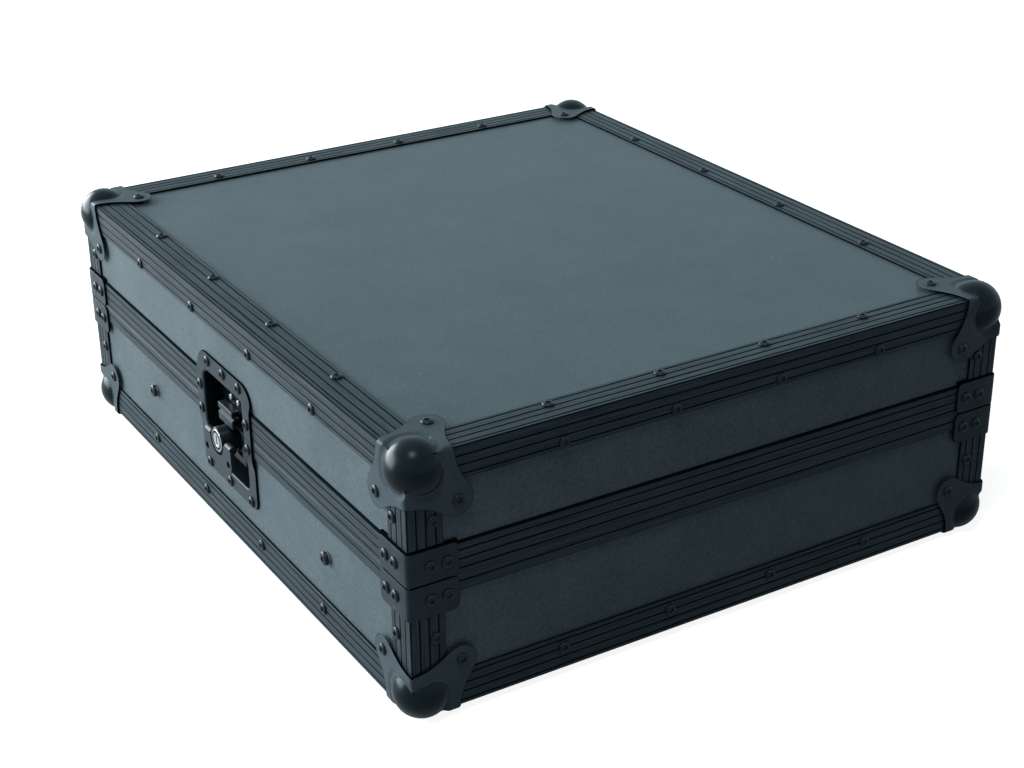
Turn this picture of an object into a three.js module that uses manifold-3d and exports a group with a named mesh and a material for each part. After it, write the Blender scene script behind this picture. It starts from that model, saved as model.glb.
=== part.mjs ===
// Mixer rack case with a lid that lifts off: laminated plywood walls, ribbed angle extrusions on every edge,
// ball corners, braces at the parting line, a recessed twist latch in each side wall, rack rails inside and
// a folding handle on the back. Millimetres, +Z up, +Y to the back. The origin is on the floor, under the
// middle of the case, which stands on its four lower ball corners.
import * as THREE from "three";
import { mergeVertices } from "three/addons/utils/BufferGeometryUtils.js";
import Module from "manifold-3d";

const wasm = await Module();
wasm.setup();

// Case, measured over the edge angles
const caseWidth = 530;
const caseDepth = 610;
const caseHeight = 204;
const splitHeight = 107.5;
const wallThickness = 9;
const fitGap = 0.3;
const overrun = 5;
const weldDistance = 0.0001;

// Edge angles: ribbed extrusions, riveted over the panel edges
const angleSheet = 1.5;
const angleTopWidth = 28.5;
const angleSideWidth = 25;
const postWidth = 27.6;
const ridgeBevel = 1;
const grooveWidth = 1.8;
const grooveDepth = 0.6;
const topGrooveShares = [0.13, 0.38, 0.62, 0.87];
const sideGrooveShares = [0.3, 0.58, 0.86];

// Blind rivets
const rivetRadius = 4.6;
const rivetHeight = 2;
const rivetCrownShare = 0.6;
const rivetSides = 6;
const rivetPitchWide = 94;
const rivetPitchDeep = 110.7;
const rivetsPerFlange = 4;
const rivetFromTopRidge = 21;
const rivetFromSideRidge = 20;
const rivetFromFootRidge = 18;

// Ball corners: pressed steel, three leaves round a ball
const ballRadius = 21;
const ballRise = 6.5;
const ballFlat = 0.5;
const ballSheet = 1.5;
const leafReach = 52;
const leafRivetPlace = 39;
const leafShares = [
  [0.7, 0],
  [0.71, 0.17],
  [0.77, 0.35],
  [0.885, 0.5],
  [0.98, 0.6],
  [1, 0.69],
  [0.925, 0.83],
];
const ballSides = 12;
const ballRings = 8;
const hollowSides = 12;
const hollowRings = 6;

// Braces at the parting line, over the ends of the upright angles
const braceReach = 38.5;
const braceHeight = 26.2;
const braceSheet = 1.5;
const braceRound = 5;
const braceRivetNear = 16;
const braceRivetFar = 29.4;
const braceRivetHeight = 13;
const postRivetAbove = 46;
const postRivetBelow = 45.5;

// Closure profile: the lid's tongue sits in the base's groove
const partingGap = 0.3;
const lidBandHeight = 23;
const baseBandHeight = 14;
const closureSheet = 1.5;
const innerLipHeight = 12;
const lidWeb = 2;
const baseWeb = 8;
const tongueWidth = 3;
const tongueDepth = 5;
const tongueInset = 5;
const tonguePlay = 0.6;
const bandGroovePitch = 7.2;
const lidBandGrooveFirst = 3.5;
const baseBandGrooveFirst = 6.4;

// Latch dish: two pressed trays, one in the lid and one in the base, which meet at the parting line
const dishSheet = 1.5;
const dishWidth = 104;
const dishRecessWidth = 75;
const dishRecessDepth = 12.2;
const dishAbove = 44.5;
const dishBelow = 62;
const recessAbove = 28.5;
const recessBelow = 49;
const dishTopRound = 17;
const dishBottomRound = 8;
const dishStepAbove = 31.5;
const dishStepBelow = 29;
const dishRivetColumn = 45;
const dishRivetRowAbove = 13;
const dishRivetRowBelow = 8.5;
const dishTopRivetPitch = 30.5;
const dishTopRivetHeight = 38;
const dishBottomRivetPitch = 41;
const dishBottomRivetHeight = 57;
const roundSteps = 3;

// Latch rotor: disc, eccentric, lock barrel and the cross pin of the flap
const rotorDrop = 17.5;
const rotorRadius = 16.4;
const rotorSheet = 3;
const rotorPlay = 0.4;
const rotorStudRadius = 5;
const rotorWasherRadius = 8;
const rotorWasherSheet = 1.5;
const eccentricRadius = 9;
const eccentricOffset = 4;
const barrelRadius = 11;
const barrelRise = 9.3;
const pinRadius = 2;
const pinRise = 6;
const pinReach = 25.5;
const roundSides = 18;
const smallSides = 10;

// Key plug in the barrel
const plugHeadRadius = 9.4;
const plugHeadDepth = 3;
const plugProud = 0.4;
const plugShaftRadius = 5;
const plugShaftDepth = 10;
const keywayWidth = 2.2;
const keywayLength = 9;
const keywayDepth = 4;

// Flap: the folding finger plate on the cross pin
const flapWidth = 54;
const flapDrop = 21;
const flapSheet = 2;
const flapNotchRadius = 13;
const flapHoleRadius = 3;
const flapHolePlace = 21;
const flapHoleDrop = 13;
const flapRound = 7;
const knuckleRadius = 3.5;
const knuckleInset = 0.5;
const knuckleStart = 14;
const notchSteps = 8;

// Hook: a yoke round the eccentric, and a claw over the keeper
const hookSheet = 2.2;
const hookWidth = 27;
const yokeWidth = 40;
const yokeMargin = 6;
const yokePlay = 1.25;
const yokeSlack = 0.4;
const clawFront = 0.5;
const clawTop = 9.8;
const clawLipReach = 7.1;
const clawPlay = 0.5;
const clawClearance = 1;
const clawGrooveStart = 2;
const clawGrooveWidth = 2.7;
const clawGrooveDepth = 1.5;

// Keeper: riveted in the lid's dish
const keeperSheet = 1.5;
const keeperFootWidth = 28;
const keeperFootHeight = 18;
const keeperBarWidth = 22;
const keeperBarHeight = 2;
const keeperStudRadius = 2.6;
const keeperStudHeight = 2.8;
const keeperStudPlace = 7;
const keeperStudRise = 8.2;

// Rack rails, as many whole units long as the case is deep, with square holes. The flange width and the
// inset of the holes bring the two hole columns 465.1 apart, as a 19-inch front panel has them.
const rackUnit = 44.45;
const rackHoleShares = [1 / 7, 1 / 2, 6 / 7];
const rackHole = 9.5;
const railSheet = 2;
const railTopDrop = 21.5;
const railLegHeight = 30;
const railFlangeWidth = 28.4;
const railHoleFromEdge = 7.05;
const railEndRoom = 25;
const railScrewPlaces = [174.4, -162.5];
const railScrewDrop = 41.5;
const railScrewRadius = 2.9;
const railScrewHeadRadius = 5.4;
const railScrewHeadHeight = 2.7;

// Foam pad in the lid
const foamThickness = 15;
const foamInset = 4;

// Handle on the back
const handlePlateWidth = 172;
const handlePlateMargin = 3.5;
const handlePlateSheet = 2;
const handlePlateRound = 8;
const handleRivetInset = 9;
const earWidth = 8;
const earPlace = 70;
const earHalfHeight = 6;
const earRise = 11.5;
const bowRadius = 3.5;
const bowRise = 7;
const bowPivotShare = 0.345;
const bowDropShare = 0.655;
const bowHalfWidth = 55;
const bowEndReach = 76;
const bowBend = 10;
const bowSides = 8;
const bowBendSteps = 3;
const gripLength = 84;
const gripHeight = 20;
const gripDepth = 12;
const gripSides = 12;

// Places worked out from the sizes above
const standHeight = ballRise - ballFlat;
const splitZ = standHeight + splitHeight;
const lidHeight = caseHeight - splitHeight;
const halfWidth = caseWidth / 2;
const halfDepth = caseDepth / 2;
const panelInset = angleSheet + fitGap;
const panelInner = panelInset + wallThickness;
const ballCentre = ballRadius - ballRise;
const leafBack = fitGap + ballSheet;
const dishHalf = dishRecessWidth / 2;
const dishOuterHalf = dishHalf + dishSheet;
const dishBack = dishRecessDepth + dishSheet;
const wallCutHalf = dishOuterHalf + fitGap;
const halfParting = partingGap / 2;
const rotorV = -rotorDrop;
const rotorBackW = -(dishRecessDepth - rotorPlay);
const rotorFaceW = rotorBackW + rotorSheet;
const yokeBackW = rotorFaceW + fitGap;
const yokeFaceW = yokeBackW + hookSheet;
const barrelBackW = yokeFaceW + fitGap;
const rackUnits = Math.floor((caseDepth - 2 * railEndRoom) / rackUnit);
const handlePlateTop = splitHeight - baseBandHeight - handlePlateMargin;
const handlePlateHeight = handlePlateTop - angleTopWidth - handlePlateMargin;
const bowPivotAbove = bowPivotShare * handlePlateHeight;
const bowDrop = bowDropShare * handlePlateHeight;

// Finishes
const finish = (color, roughness, metalness) =>
  new THREE.MeshStandardMaterial({ color, roughness, metalness });
const laminate = () => finish(0x54646c, 0.6, 0);
const anodised = () => finish(0x323d44, 0.45, 0.6);
const coatedSteel = () => finish(0x3c474e, 0.4, 0.5);
const zincSteel = () => finish(0x8f989c, 0.35, 0.9);
const chromed = () => finish(0xd2d6d8, 0.12, 1);
const foam = () => finish(0x2a2d2f, 0.95, 0);
const rubberGrip = () => finish(0x1d2022, 0.7, 0);

// Axes used to lay a flat outline on another plane
const axisX = new THREE.Vector3(1, 0, 0);
const axisY = new THREE.Vector3(0, 1, 0);
const axisZ = new THREE.Vector3(0, 0, 1);
const minusX = axisX.clone().negate();
const minusY = axisY.clone().negate();
const minusZ = axisZ.clone().negate();

// A closed three.js geometry as a solid that can be joined and cut.
function solidOf(geometry) {
  const bare = geometry.index ? geometry.toNonIndexed() : geometry.clone();
  bare.deleteAttribute("normal");
  bare.deleteAttribute("uv");
  const merged = mergeVertices(bare, weldDistance);
  const mesh = new wasm.Mesh({
    numProp: 3,
    vertProperties: merged.attributes.position.array,
    triVerts: new Uint32Array(merged.index.array),
  });
  return new wasm.Manifold(mesh);
}

// A solid back as a three.js geometry.
function geometryOf(solid) {
  const mesh = solid.getMesh();
  const geometry = new THREE.BufferGeometry();
  geometry.setAttribute("position", new THREE.BufferAttribute(mesh.vertProperties, mesh.numProp));
  geometry.setIndex(new THREE.BufferAttribute(mesh.triVerts, 1));
  return geometry.toNonIndexed();
}

const joined = (solids) => solids.reduce((sum, solid) => sum.add(solid));
const cutBy = (solid, tools) => tools.reduce((rest, tool) => rest.subtract(tool), solid);

// A block between two corners.
function block(low, high) {
  const size = high.map((value, i) => value - low[i]);
  const middle = high.map((value, i) => (value + low[i]) / 2);
  return solidOf(new THREE.BoxGeometry(...size).translate(...middle));
}

// A flat outline given thickness from one level to another, on the plane of the two axes given.
function plate(outline, from, to, across = axisX, up = axisY, out = axisZ, holes = []) {
  const shape = new THREE.Shape(outline.map(([x, y]) => new THREE.Vector2(x, y)));
  shape.holes = holes.map((hole) => new THREE.Path(hole.map(([x, y]) => new THREE.Vector2(x, y))));
  const geometry = new THREE.ExtrudeGeometry(shape, { depth: to - from, bevelEnabled: false });
  geometry.translate(0, 0, from);
  return solidOf(geometry.applyMatrix4(new THREE.Matrix4().makeBasis(across, up, out)));
}

// A round bar along Z between two levels, about a centre.
function bar(radius, from, to, centre = [0, 0], sides = roundSides) {
  const geometry = new THREE.CylinderGeometry(radius, radius, to - from, sides);
  geometry.rotateX(Math.PI / 2);
  return solidOf(geometry.translate(centre[0], centre[1], (from + to) / 2));
}

// The points of an arc, in steps, from one angle to another in quarter turns.
function arc(centre, radius, fromQuarter, toQuarter, steps) {
  return Array.from({ length: steps + 1 }, (_, i) => {
    const angle = ((fromQuarter + ((toQuarter - fromQuarter) * i) / steps) * Math.PI) / 2;
    return [centre[0] + radius * Math.cos(angle), centre[1] + radius * Math.sin(angle)];
  });
}

// A domed rivet head that starts inside the sheet, at a point and facing a way.
function rivetAt(point, facing) {
  const profile = [
    new THREE.Vector2(0, -angleSheet / 2),
    new THREE.Vector2(rivetRadius, -angleSheet / 2),
    new THREE.Vector2(rivetRadius * rivetCrownShare, rivetHeight),
    new THREE.Vector2(0, rivetHeight),
  ];
  const turn = new THREE.Quaternion().setFromUnitVectors(axisY, facing);
  const geometry = new THREE.LatheGeometry(profile, rivetSides).applyQuaternion(turn);
  return solidOf(geometry.translate(...point));
}

// Places spread evenly about the middle.
const spread = (count, pitch) => Array.from({ length: count }, (_, i) => (i - (count - 1) / 2) * pitch);

const parts = new THREE.Group();

// Adds a named piece, placed by a matrix. A mirroring matrix gives the opposite hand.
function addPiece(name, solid, material, matrix, group = parts) {
  const mesh = new THREE.Mesh(geometryOf(solid), material);
  mesh.name = name;
  if (matrix) mesh.applyMatrix4(matrix);
  group.add(mesh);
  return mesh;
}

// The four corners of the plan, with the signs that point outwards.
const cornerNames = [
  ["front_left", -1, -1],
  ["front_right", 1, -1],
  ["back_left", -1, 1],
  ["back_right", 1, 1],
];

// The two shells, with the sign that points away from the parting line and the level of their outer face.
const shells = [
  { shell: "lid", away: 1, outerZ: standHeight + caseHeight, height: lidHeight, band: lidBandHeight },
  { shell: "base", away: -1, outerZ: standHeight, height: splitHeight, band: baseBandHeight },
];

// Placed in a corner: local X and Y run inwards from the outer corner, local Z inwards from the outer face.
const cornerMatrix = (sx, sy, sz, z) =>
  new THREE.Matrix4().makeScale(-sx, -sy, -sz).setPosition(sx * halfWidth, sy * halfDepth, z);

// Ball corner, in a frame with its axes running inwards from the outer corner of the case.
function ballCorner() {
  const sphere = (radius, sides, rings) =>
    solidOf(
      new THREE.SphereGeometry(radius, sides, rings)
        .rotateX(Math.PI / 2)
        .translate(ballCentre, ballCentre, ballCentre),
    );
  const half = leafShares.map(([x, y]) => [x * leafReach, y * leafReach]);
  const edgeReach = half[0][0];
  const outline = [[-leafBack, -leafBack], [edgeReach, -leafBack], ...half];
  outline.push(...half.map(([x, y]) => [y, x]).reverse());
  outline.push([-leafBack, edgeReach]);
  const leaves = joined([
    plate(outline, -leafBack, -fitGap),
    plate(outline, -leafBack, -fitGap, axisY, axisZ, axisX),
    plate(outline, -leafBack, -fitGap, axisZ, axisX, axisY),
  ]);
  const outside = -ballRise - overrun;
  const inside = leafReach + overrun;
  const octant = block([outside, outside, outside], [ballCentre, ballCentre, ballCentre]);
  const caseInside = block([-fitGap, -fitGap, -fitGap], [inside, inside, inside]).subtract(octant);
  const shell = sphere(ballRadius, ballSides, ballRings)
    .add(leaves.subtract(octant))
    .subtract(sphere(ballRadius - ballSheet, hollowSides, hollowRings))
    .subtract(caseInside)
    .subtract(block([outside, outside, outside], [inside, inside, ballFlat - ballRise]));
  const rivets = [
    rivetAt([leafRivetPlace, leafRivetPlace, -leafBack], minusZ),
    rivetAt([-leafBack, leafRivetPlace, leafRivetPlace], minusX),
    rivetAt([leafRivetPlace, -leafBack, leafRivetPlace], minusY),
  ];
  return joined([shell, ...rivets]);
}

const ballSolid = ballCorner();
for (const { shell, away, outerZ } of shells) {
  for (const [corner, sx, sy] of cornerNames) {
    addPiece(`${shell}_ball_corner_${corner}`, ballSolid, coatedSteel(), cornerMatrix(sx, sy, away, outerZ));
  }
}

// Outline of a ribbed angle: one flange along X, one along Y, the outer faces on the two axes.
function angleOutline(alongX, alongY, sharesX, sharesY) {
  const half = grooveWidth / 2;
  const groove = (width, share) => [
    [width * share - half, 0],
    [width * share, grooveDepth],
    [width * share + half, 0],
  ];
  const swap = ([x, y]) => [y, x];
  return [
    [ridgeBevel, 0],
    ...sharesX.flatMap((share) => groove(alongX, share)),
    [alongX, 0],
    [alongX, angleSheet],
    [angleSheet, angleSheet],
    [angleSheet, alongY],
    [0, alongY],
    ...sharesY.flatMap((share) => groove(alongY, share)).map(swap).reverse(),
    [0, ridgeBevel],
  ];
}

// Cuts the end of an angle that lies along Z: mitred with its two neighbours, and clear of the ball.
function mitred(solid, end) {
  const way = Math.sign(end);
  const size = angleTopWidth + overrun;
  const wedge = [
    [-size, end + way * (size - fitGap)],
    [size, end - way * (size + fitGap)],
    [size, end + way * (size - fitGap)],
  ];
  const clear = ballCentre + fitGap;
  const low = Math.min(end - way * clear, end + way * overrun);
  const high = Math.max(end - way * clear, end + way * overrun);
  return cutBy(solid, [
    plate(wedge, -size, size, axisX, axisZ, minusY),
    plate(wedge, -size, size, axisY, axisZ, axisX),
    block([-overrun, -overrun, low], [clear, clear, high]),
  ]);
}

// Edge angle of one length, along Z about its middle, with a row of rivets on each flange.
function edgeAngle(length, pitch, wideRow, narrowRow) {
  const outline = angleOutline(angleTopWidth, angleSideWidth, topGrooveShares, sideGrooveShares);
  const angle = mitred(mitred(plate(outline, -length / 2, length / 2), length / 2), -length / 2);
  const rivets = spread(rivetsPerFlange, pitch).flatMap((place) => [
    rivetAt([wideRow, 0, place], minusY),
    rivetAt([0, narrowRow, place], minusX),
  ]);
  return joined([angle, ...rivets]);
}

// The lid's edge angles have their wide flange on top. The base's have it on the wall.
for (const { shell, away, outerZ } of shells) {
  const rows = away > 0 ? [rivetFromTopRidge, rivetFromSideRidge] : [rivetFromFootRidge, rivetFromTopRidge];
  const wideAngle = edgeAngle(caseWidth, rivetPitchWide, ...rows);
  const deepAngle = edgeAngle(caseDepth, rivetPitchDeep, ...rows);
  const inZ = new THREE.Vector3(0, 0, -away);
  for (const [side, sign] of [["front", -1], ["back", 1]]) {
    const inY = new THREE.Vector3(0, -sign, 0);
    const flanges = away > 0 ? [inY, inZ] : [inZ, inY];
    const place = new THREE.Matrix4().makeBasis(...flanges, axisX).setPosition(0, sign * halfDepth, outerZ);
    addPiece(`${shell}_edge_${side}`, wideAngle, anodised(), place);
  }
  for (const [side, sign] of [["left", -1], ["right", 1]]) {
    const inX = new THREE.Vector3(-sign, 0, 0);
    const flanges = away > 0 ? [inX, inZ] : [inZ, inX];
    const place = new THREE.Matrix4().makeBasis(...flanges, axisY).setPosition(sign * halfWidth, 0, outerZ);
    addPiece(`${shell}_edge_${side}`, deepAngle, anodised(), place);
  }
}

// Brace leaf on one wall: a plate with its two free corners rounded, from the parting line upwards.
function braceOutline() {
  const low = halfParting;
  return [
    [-fitGap - braceSheet, low],
    ...arc([braceReach - braceRound, low + braceRound], braceRound, -1, 0, roundSteps),
    ...arc([braceReach - braceRound, braceHeight - braceRound], braceRound, 0, 1, roundSteps),
    [-fitGap - braceSheet, braceHeight],
  ];
}

// Upright corner angle with its brace. Local Z runs from the parting line to the outer face of the shell.
function cornerPost(height, band, rivetLevel) {
  const outline = angleOutline(postWidth, postWidth, sideGrooveShares, sideGrooveShares);
  const foot = band + fitGap;
  const angle = mitred(plate(outline, foot, height), height);
  const back = -fitGap - braceSheet;
  const brace = joined([
    plate(braceOutline(), back, -fitGap, axisY, axisZ, axisX),
    plate(braceOutline(), fitGap, -back, axisX, axisZ, minusY),
    block([back, back, foot], [postWidth, angleSheet / 2, braceHeight - fitGap]),
    block([back, back, foot], [angleSheet / 2, postWidth, braceHeight - fitGap]),
  ]);
  const rivets = [braceRivetNear, braceRivetFar].flatMap((place) => [
    rivetAt([place, back, braceRivetHeight], minusY),
    rivetAt([back, place, braceRivetHeight], minusX),
  ]);
  rivets.push(rivetAt([rivetFromSideRidge, 0, rivetLevel], minusY));
  rivets.push(rivetAt([0, rivetFromSideRidge, rivetLevel], minusX));
  return joined([angle, brace, ...rivets]);
}

for (const { shell, away, height, band } of shells) {
  const post = cornerPost(height, band, away > 0 ? postRivetAbove : postRivetBelow);
  for (const [corner, sx, sy] of cornerNames) {
    const place = new THREE.Matrix4().makeScale(-sx, -sy, away);
    place.setPosition(sx * halfWidth, sy * halfDepth, splitZ);
    addPiece(`${shell}_corner_post_${corner}`, post, anodised(), place);
  }
}

// Carries a section round half of the case, from one side wall past two corners to the other, mitred.
// A section point is [distance in from the outer face, height].
function halfFrame(section) {
  const stops = [
    [-halfWidth, -wallCutHalf, 1, 0],
    [-halfWidth, -halfDepth, 1, 1],
    [halfWidth, -halfDepth, -1, 1],
    [halfWidth, -wallCutHalf, -1, 0],
  ];
  const count = section.length;
  const points = stops.flatMap(([x, y, inX, inY]) => section.map(([n, z]) => [x + n * inX, y + n * inY, z]));
  const faces = [];
  for (let stop = 0; stop < stops.length - 1; stop += 1) {
    for (let i = 0; i < count; i += 1) {
      const a = stop * count + i;
      const b = stop * count + ((i + 1) % count);
      faces.push(a, b, a + count, b, b + count, a + count);
    }
  }
  const flat = section.map(([n, z]) => new THREE.Vector2(n, z));
  const last = (stops.length - 1) * count;
  for (const [a, b, c] of THREE.ShapeUtils.triangulateShape(flat, [])) {
    faces.push(c, b, a, last + a, last + b, last + c);
  }
  const geometry = new THREE.BufferGeometry();
  geometry.setAttribute("position", new THREE.Float32BufferAttribute(points.flat(), 3));
  geometry.setIndex(faces);
  return solidOf(geometry);
}

// Ribs of a closure band, on its outer face, from the parting line outwards.
function bandGrooves(bandHeight, first) {
  const half = grooveWidth / 2;
  const count = Math.floor((bandHeight - first - half) / bandGroovePitch) + 1;
  return Array.from({ length: count }, (_, i) => first + i * bandGroovePitch).flatMap((z) => [
    [0, z - half],
    [grooveDepth, z],
    [0, z + half],
  ]);
}

const lipOut = panelInner + fitGap;
const lipIn = lipOut + closureSheet;
const lidSection = [
  [0, halfParting],
  [tongueInset, halfParting],
  [tongueInset, -tongueDepth],
  [tongueInset + tongueWidth, -tongueDepth],
  [tongueInset + tongueWidth, halfParting],
  [lipIn, halfParting],
  [lipIn, innerLipHeight],
  [lipOut, innerLipHeight],
  [lipOut, lidWeb],
  [closureSheet, lidWeb],
  [closureSheet, lidBandHeight],
  [0, lidBandHeight],
  ...bandGrooves(lidBandHeight, lidBandGrooveFirst).reverse(),
];
const baseSection = [
  [0, -halfParting],
  ...bandGrooves(baseBandHeight, baseBandGrooveFirst).map(([n, z]) => [n, -z]),
  [0, -baseBandHeight],
  [closureSheet, -baseBandHeight],
  [closureSheet, -baseWeb],
  [lipOut, -baseWeb],
  [lipOut, -innerLipHeight],
  [lipIn, -innerLipHeight],
  [lipIn, -halfParting],
  [tongueInset + tongueWidth + tonguePlay, -halfParting],
  [tongueInset + tongueWidth + tonguePlay, -tongueDepth - tonguePlay],
  [tongueInset - tonguePlay, -tongueDepth - tonguePlay],
  [tongueInset - tonguePlay, -halfParting],
];
for (const [shell, section] of [["lid", lidSection], ["base", baseSection]]) {
  const half = halfFrame(section);
  const front = new THREE.Matrix4().makeTranslation(0, 0, splitZ);
  const back = new THREE.Matrix4().makeRotationZ(Math.PI).setPosition(0, 0, splitZ);
  addPiece(`${shell}_closure_front`, half, anodised(), front);
  addPiece(`${shell}_closure_back`, half, anodised(), back);
}

// Panels. The flat one runs over the ends of the four walls, and the side walls over the ends of the others.
const panelHalfWidth = halfWidth - panelInset;
const panelHalfDepth = halfDepth - panelInset;
const ballClear = ballCentre - fitGap - panelInset / 2 - ballSheet;
for (const { shell, away, outerZ } of shells) {
  const web = away > 0 ? lidWeb : baseWeb;
  const level = (z) => [Math.min(...z), Math.max(...z)];
  const [flatLow, flatHigh] = level([outerZ - away * panelInset, outerZ - away * panelInner]);
  const [wallLow, wallHigh] = level([outerZ - away * (panelInner + fitGap), splitZ + away * (web + fitGap)]);
  const corners = cornerNames.map(([, sx, sy]) => {
    const from = [sx * (halfWidth - ballClear), sy * (halfDepth - ballClear)];
    const to = [sx * (halfWidth + overrun), sy * (halfDepth + overrun)];
    return block(
      [Math.min(from[0], to[0]), Math.min(from[1], to[1]), flatLow - overrun],
      [Math.max(from[0], to[0]), Math.max(from[1], to[1]), flatHigh + overrun],
    );
  });
  const flat = block([-panelHalfWidth, -panelHalfDepth, flatLow], [panelHalfWidth, panelHalfDepth, flatHigh]);
  addPiece(`${shell}_${away > 0 ? "top" : "bottom"}_panel`, cutBy(flat, corners), laminate());

  const recess = away > 0 ? recessAbove : recessBelow;
  const cutEnd = splitZ + away * (recess + dishSheet + fitGap);
  const [cutLow, cutHigh] = level([splitZ - away * overrun, cutEnd]);
  const sideWall = (sign) => {
    const [low, high] = level([sign * panelHalfWidth, sign * (panelHalfWidth - wallThickness)]);
    const wall = block([low, -panelHalfDepth, wallLow], [high, panelHalfDepth, wallHigh]);
    const tools = [block([low - overrun, -wallCutHalf, cutLow], [high + overrun, wallCutHalf, cutHigh])];
    if (away < 0) {
      for (const place of railScrewPlaces) {
        const hole = bar(railScrewRadius + fitGap, -caseWidth, caseWidth, [0, 0], smallSides);
        tools.push(hole.rotate(0, 90, 0).translate(0, sign * place, splitZ - railScrewDrop));
      }
    }
    return cutBy(wall, tools);
  };
  addPiece(`${shell}_left_panel`, sideWall(-1), laminate());
  addPiece(`${shell}_right_panel`, sideWall(1), laminate());

  const endHalf = panelHalfWidth - wallThickness - fitGap;
  for (const [side, sign] of [["front", -1], ["back", 1]]) {
    const [low, high] = level([sign * panelHalfDepth, sign * (panelHalfDepth - wallThickness)]);
    addPiece(`${shell}_${side}_panel`, block([-endHalf, low, wallLow], [endHalf, high, wallHigh]), laminate());
  }
}

// Foam pad under the top panel
const foamTop = standHeight + caseHeight - panelInner - fitGap;
const foamHalfWidth = halfWidth - panelInner - foamInset;
const foamHalfDepth = halfDepth - panelInner - foamInset;
const foamPad = block(
  [-foamHalfWidth, -foamHalfDepth, foamTop - foamThickness],
  [foamHalfWidth, foamHalfDepth, foamTop],
);
addPiece("lid_foam", foamPad, foam());

// A wall's own frame: U along the wall, V up from the parting line, W outwards from the face of the angles.
function wallGroup(u, w, x, y) {
  const group = new THREE.Group();
  group.applyMatrix4(new THREE.Matrix4().makeBasis(u, axisZ, w).setPosition(x, y, splitZ));
  parts.add(group);
  return group;
}
const sideWalls = [
  ["left", wallGroup(minusY, minusX, -halfWidth, 0)],
  ["right", wallGroup(axisY, axisX, halfWidth, 0)],
];

// One half of the latch dish. It is drawn going up from the parting line, and turned over for the base.
function dishHalfTray(reach, recess, step, round, rivets, studHole) {
  const half = dishWidth / 2;
  const outline = [
    [-half, halfParting],
    [half, halfParting],
    ...arc([half - round, reach - round], round, 0, 1, roundSteps),
    ...arc([round - half, reach - round], round, 1, 2, roundSteps),
  ];
  const raised = fitGap + dishSheet;
  const sunk = -panelInset + fitGap;
  const flange = plate(outline, -overrun, overrun).intersect(
    joined([
      block([-half, 0, fitGap], [half, step + dishSheet, raised]),
      block([-half, step, sunk], [half, step + dishSheet, raised]),
      block([-half, step, sunk], [half, reach, sunk + dishSheet]),
    ]),
  );
  const tray = block([-dishOuterHalf, halfParting, -dishBack], [dishOuterHalf, recess + dishSheet, raised]);
  const hollow = block([-dishHalf, -overrun, -dishRecessDepth], [dishHalf, recess, raised + overrun]);
  const heads = rivets.map(([u, v]) => {
    const level = v > step ? sunk + dishSheet : raised;
    return rivetAt([u, v, level], axisZ);
  });
  return cutBy(joined([flange, tray, ...heads]), [hollow, ...studHole]);
}

const lidDish = dishHalfTray(
  dishAbove,
  recessAbove,
  dishStepAbove,
  dishTopRound,
  [
    [-dishRivetColumn, dishRivetRowAbove],
    [dishRivetColumn, dishRivetRowAbove],
    ...spread(3, dishTopRivetPitch).map((u) => [u, dishTopRivetHeight]),
  ],
  [],
);
const studHoleTool = bar(rotorStudRadius + fitGap, -dishBack - overrun, 0, [0, rotorDrop], smallSides);
const baseDish = dishHalfTray(
  dishBelow,
  recessBelow,
  dishStepBelow,
  dishBottomRound,
  [
    [-dishRivetColumn, dishRivetRowBelow],
    [dishRivetColumn, dishRivetRowBelow],
    ...spread(3, dishBottomRivetPitch).map((u) => [u, dishBottomRivetHeight]),
  ],
  [studHoleTool],
);

// Keeper: a foot riveted to the tray, and a ledge that the claw pulls on
function keeperSolid() {
  const back = -(dishRecessDepth - fitGap);
  const ledgeTop = clawTop - hookSheet - clawPlay;
  const ledgeLow = ledgeTop - keeperBarHeight;
  const ledgeFront = clawFront - hookSheet - clawPlay;
  const foot = block(
    [-keeperFootWidth / 2, ledgeLow, back],
    [keeperFootWidth / 2, ledgeLow + keeperFootHeight, back + keeperSheet],
  );
  const ledge = block([-keeperBarWidth / 2, ledgeLow, back], [keeperBarWidth / 2, ledgeTop, ledgeFront]);
  const studs = [-keeperStudPlace, keeperStudPlace].map((u) =>
    bar(keeperStudRadius, back, back + keeperSheet + keeperStudHeight, [u, ledgeLow + keeperStudRise], smallSides),
  );
  return joined([foot, ledge, ...studs]);
}

// Rotor about the latch axis, which is local Z: stud, washer, disc, eccentric, barrel and cross pin
function rotorSolid() {
  const washerFront = -dishBack - fitGap;
  const pin = bar(pinRadius, -pinReach, pinReach, [0, 0], smallSides).rotate(0, 90, 0);
  const body = joined([
    bar(rotorWasherRadius, washerFront - rotorWasherSheet, washerFront, [0, 0], smallSides),
    bar(rotorStudRadius, washerFront - rotorWasherSheet, rotorFaceW, [0, 0], smallSides),
    bar(rotorRadius, rotorBackW, rotorFaceW),
    bar(eccentricRadius, rotorFaceW - rotorSheet / 2, barrelBackW + fitGap, [0, -eccentricOffset]),
    bar(barrelRadius, barrelBackW, barrelRise),
    pin.translate(0, 0, pinRise),
  ]);
  const shaftEnd = barrelRise - plugShaftDepth - fitGap;
  const headEnd = barrelRise - plugHeadDepth;
  return cutBy(body, [
    bar(plugShaftRadius + fitGap, shaftEnd, barrelRise + overrun, [0, 0], smallSides),
    bar(plugHeadRadius + fitGap, headEnd, barrelRise + overrun),
  ]);
}

// Key plug: a round head with a keyway, on a shaft in the barrel
function plugSolid() {
  const face = barrelRise + plugProud;
  const head = bar(plugHeadRadius, barrelRise - plugHeadDepth + fitGap, face);
  const shaft = bar(plugShaftRadius, barrelRise - plugShaftDepth, face, [0, 0], smallSides);
  const keyway = block(
    [-keywayWidth / 2, -keywayLength / 2, face - keywayDepth],
    [keywayWidth / 2, keywayLength / 2, face + overrun],
  );
  return cutBy(joined([head, shaft]), [keyway]);
}

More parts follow.
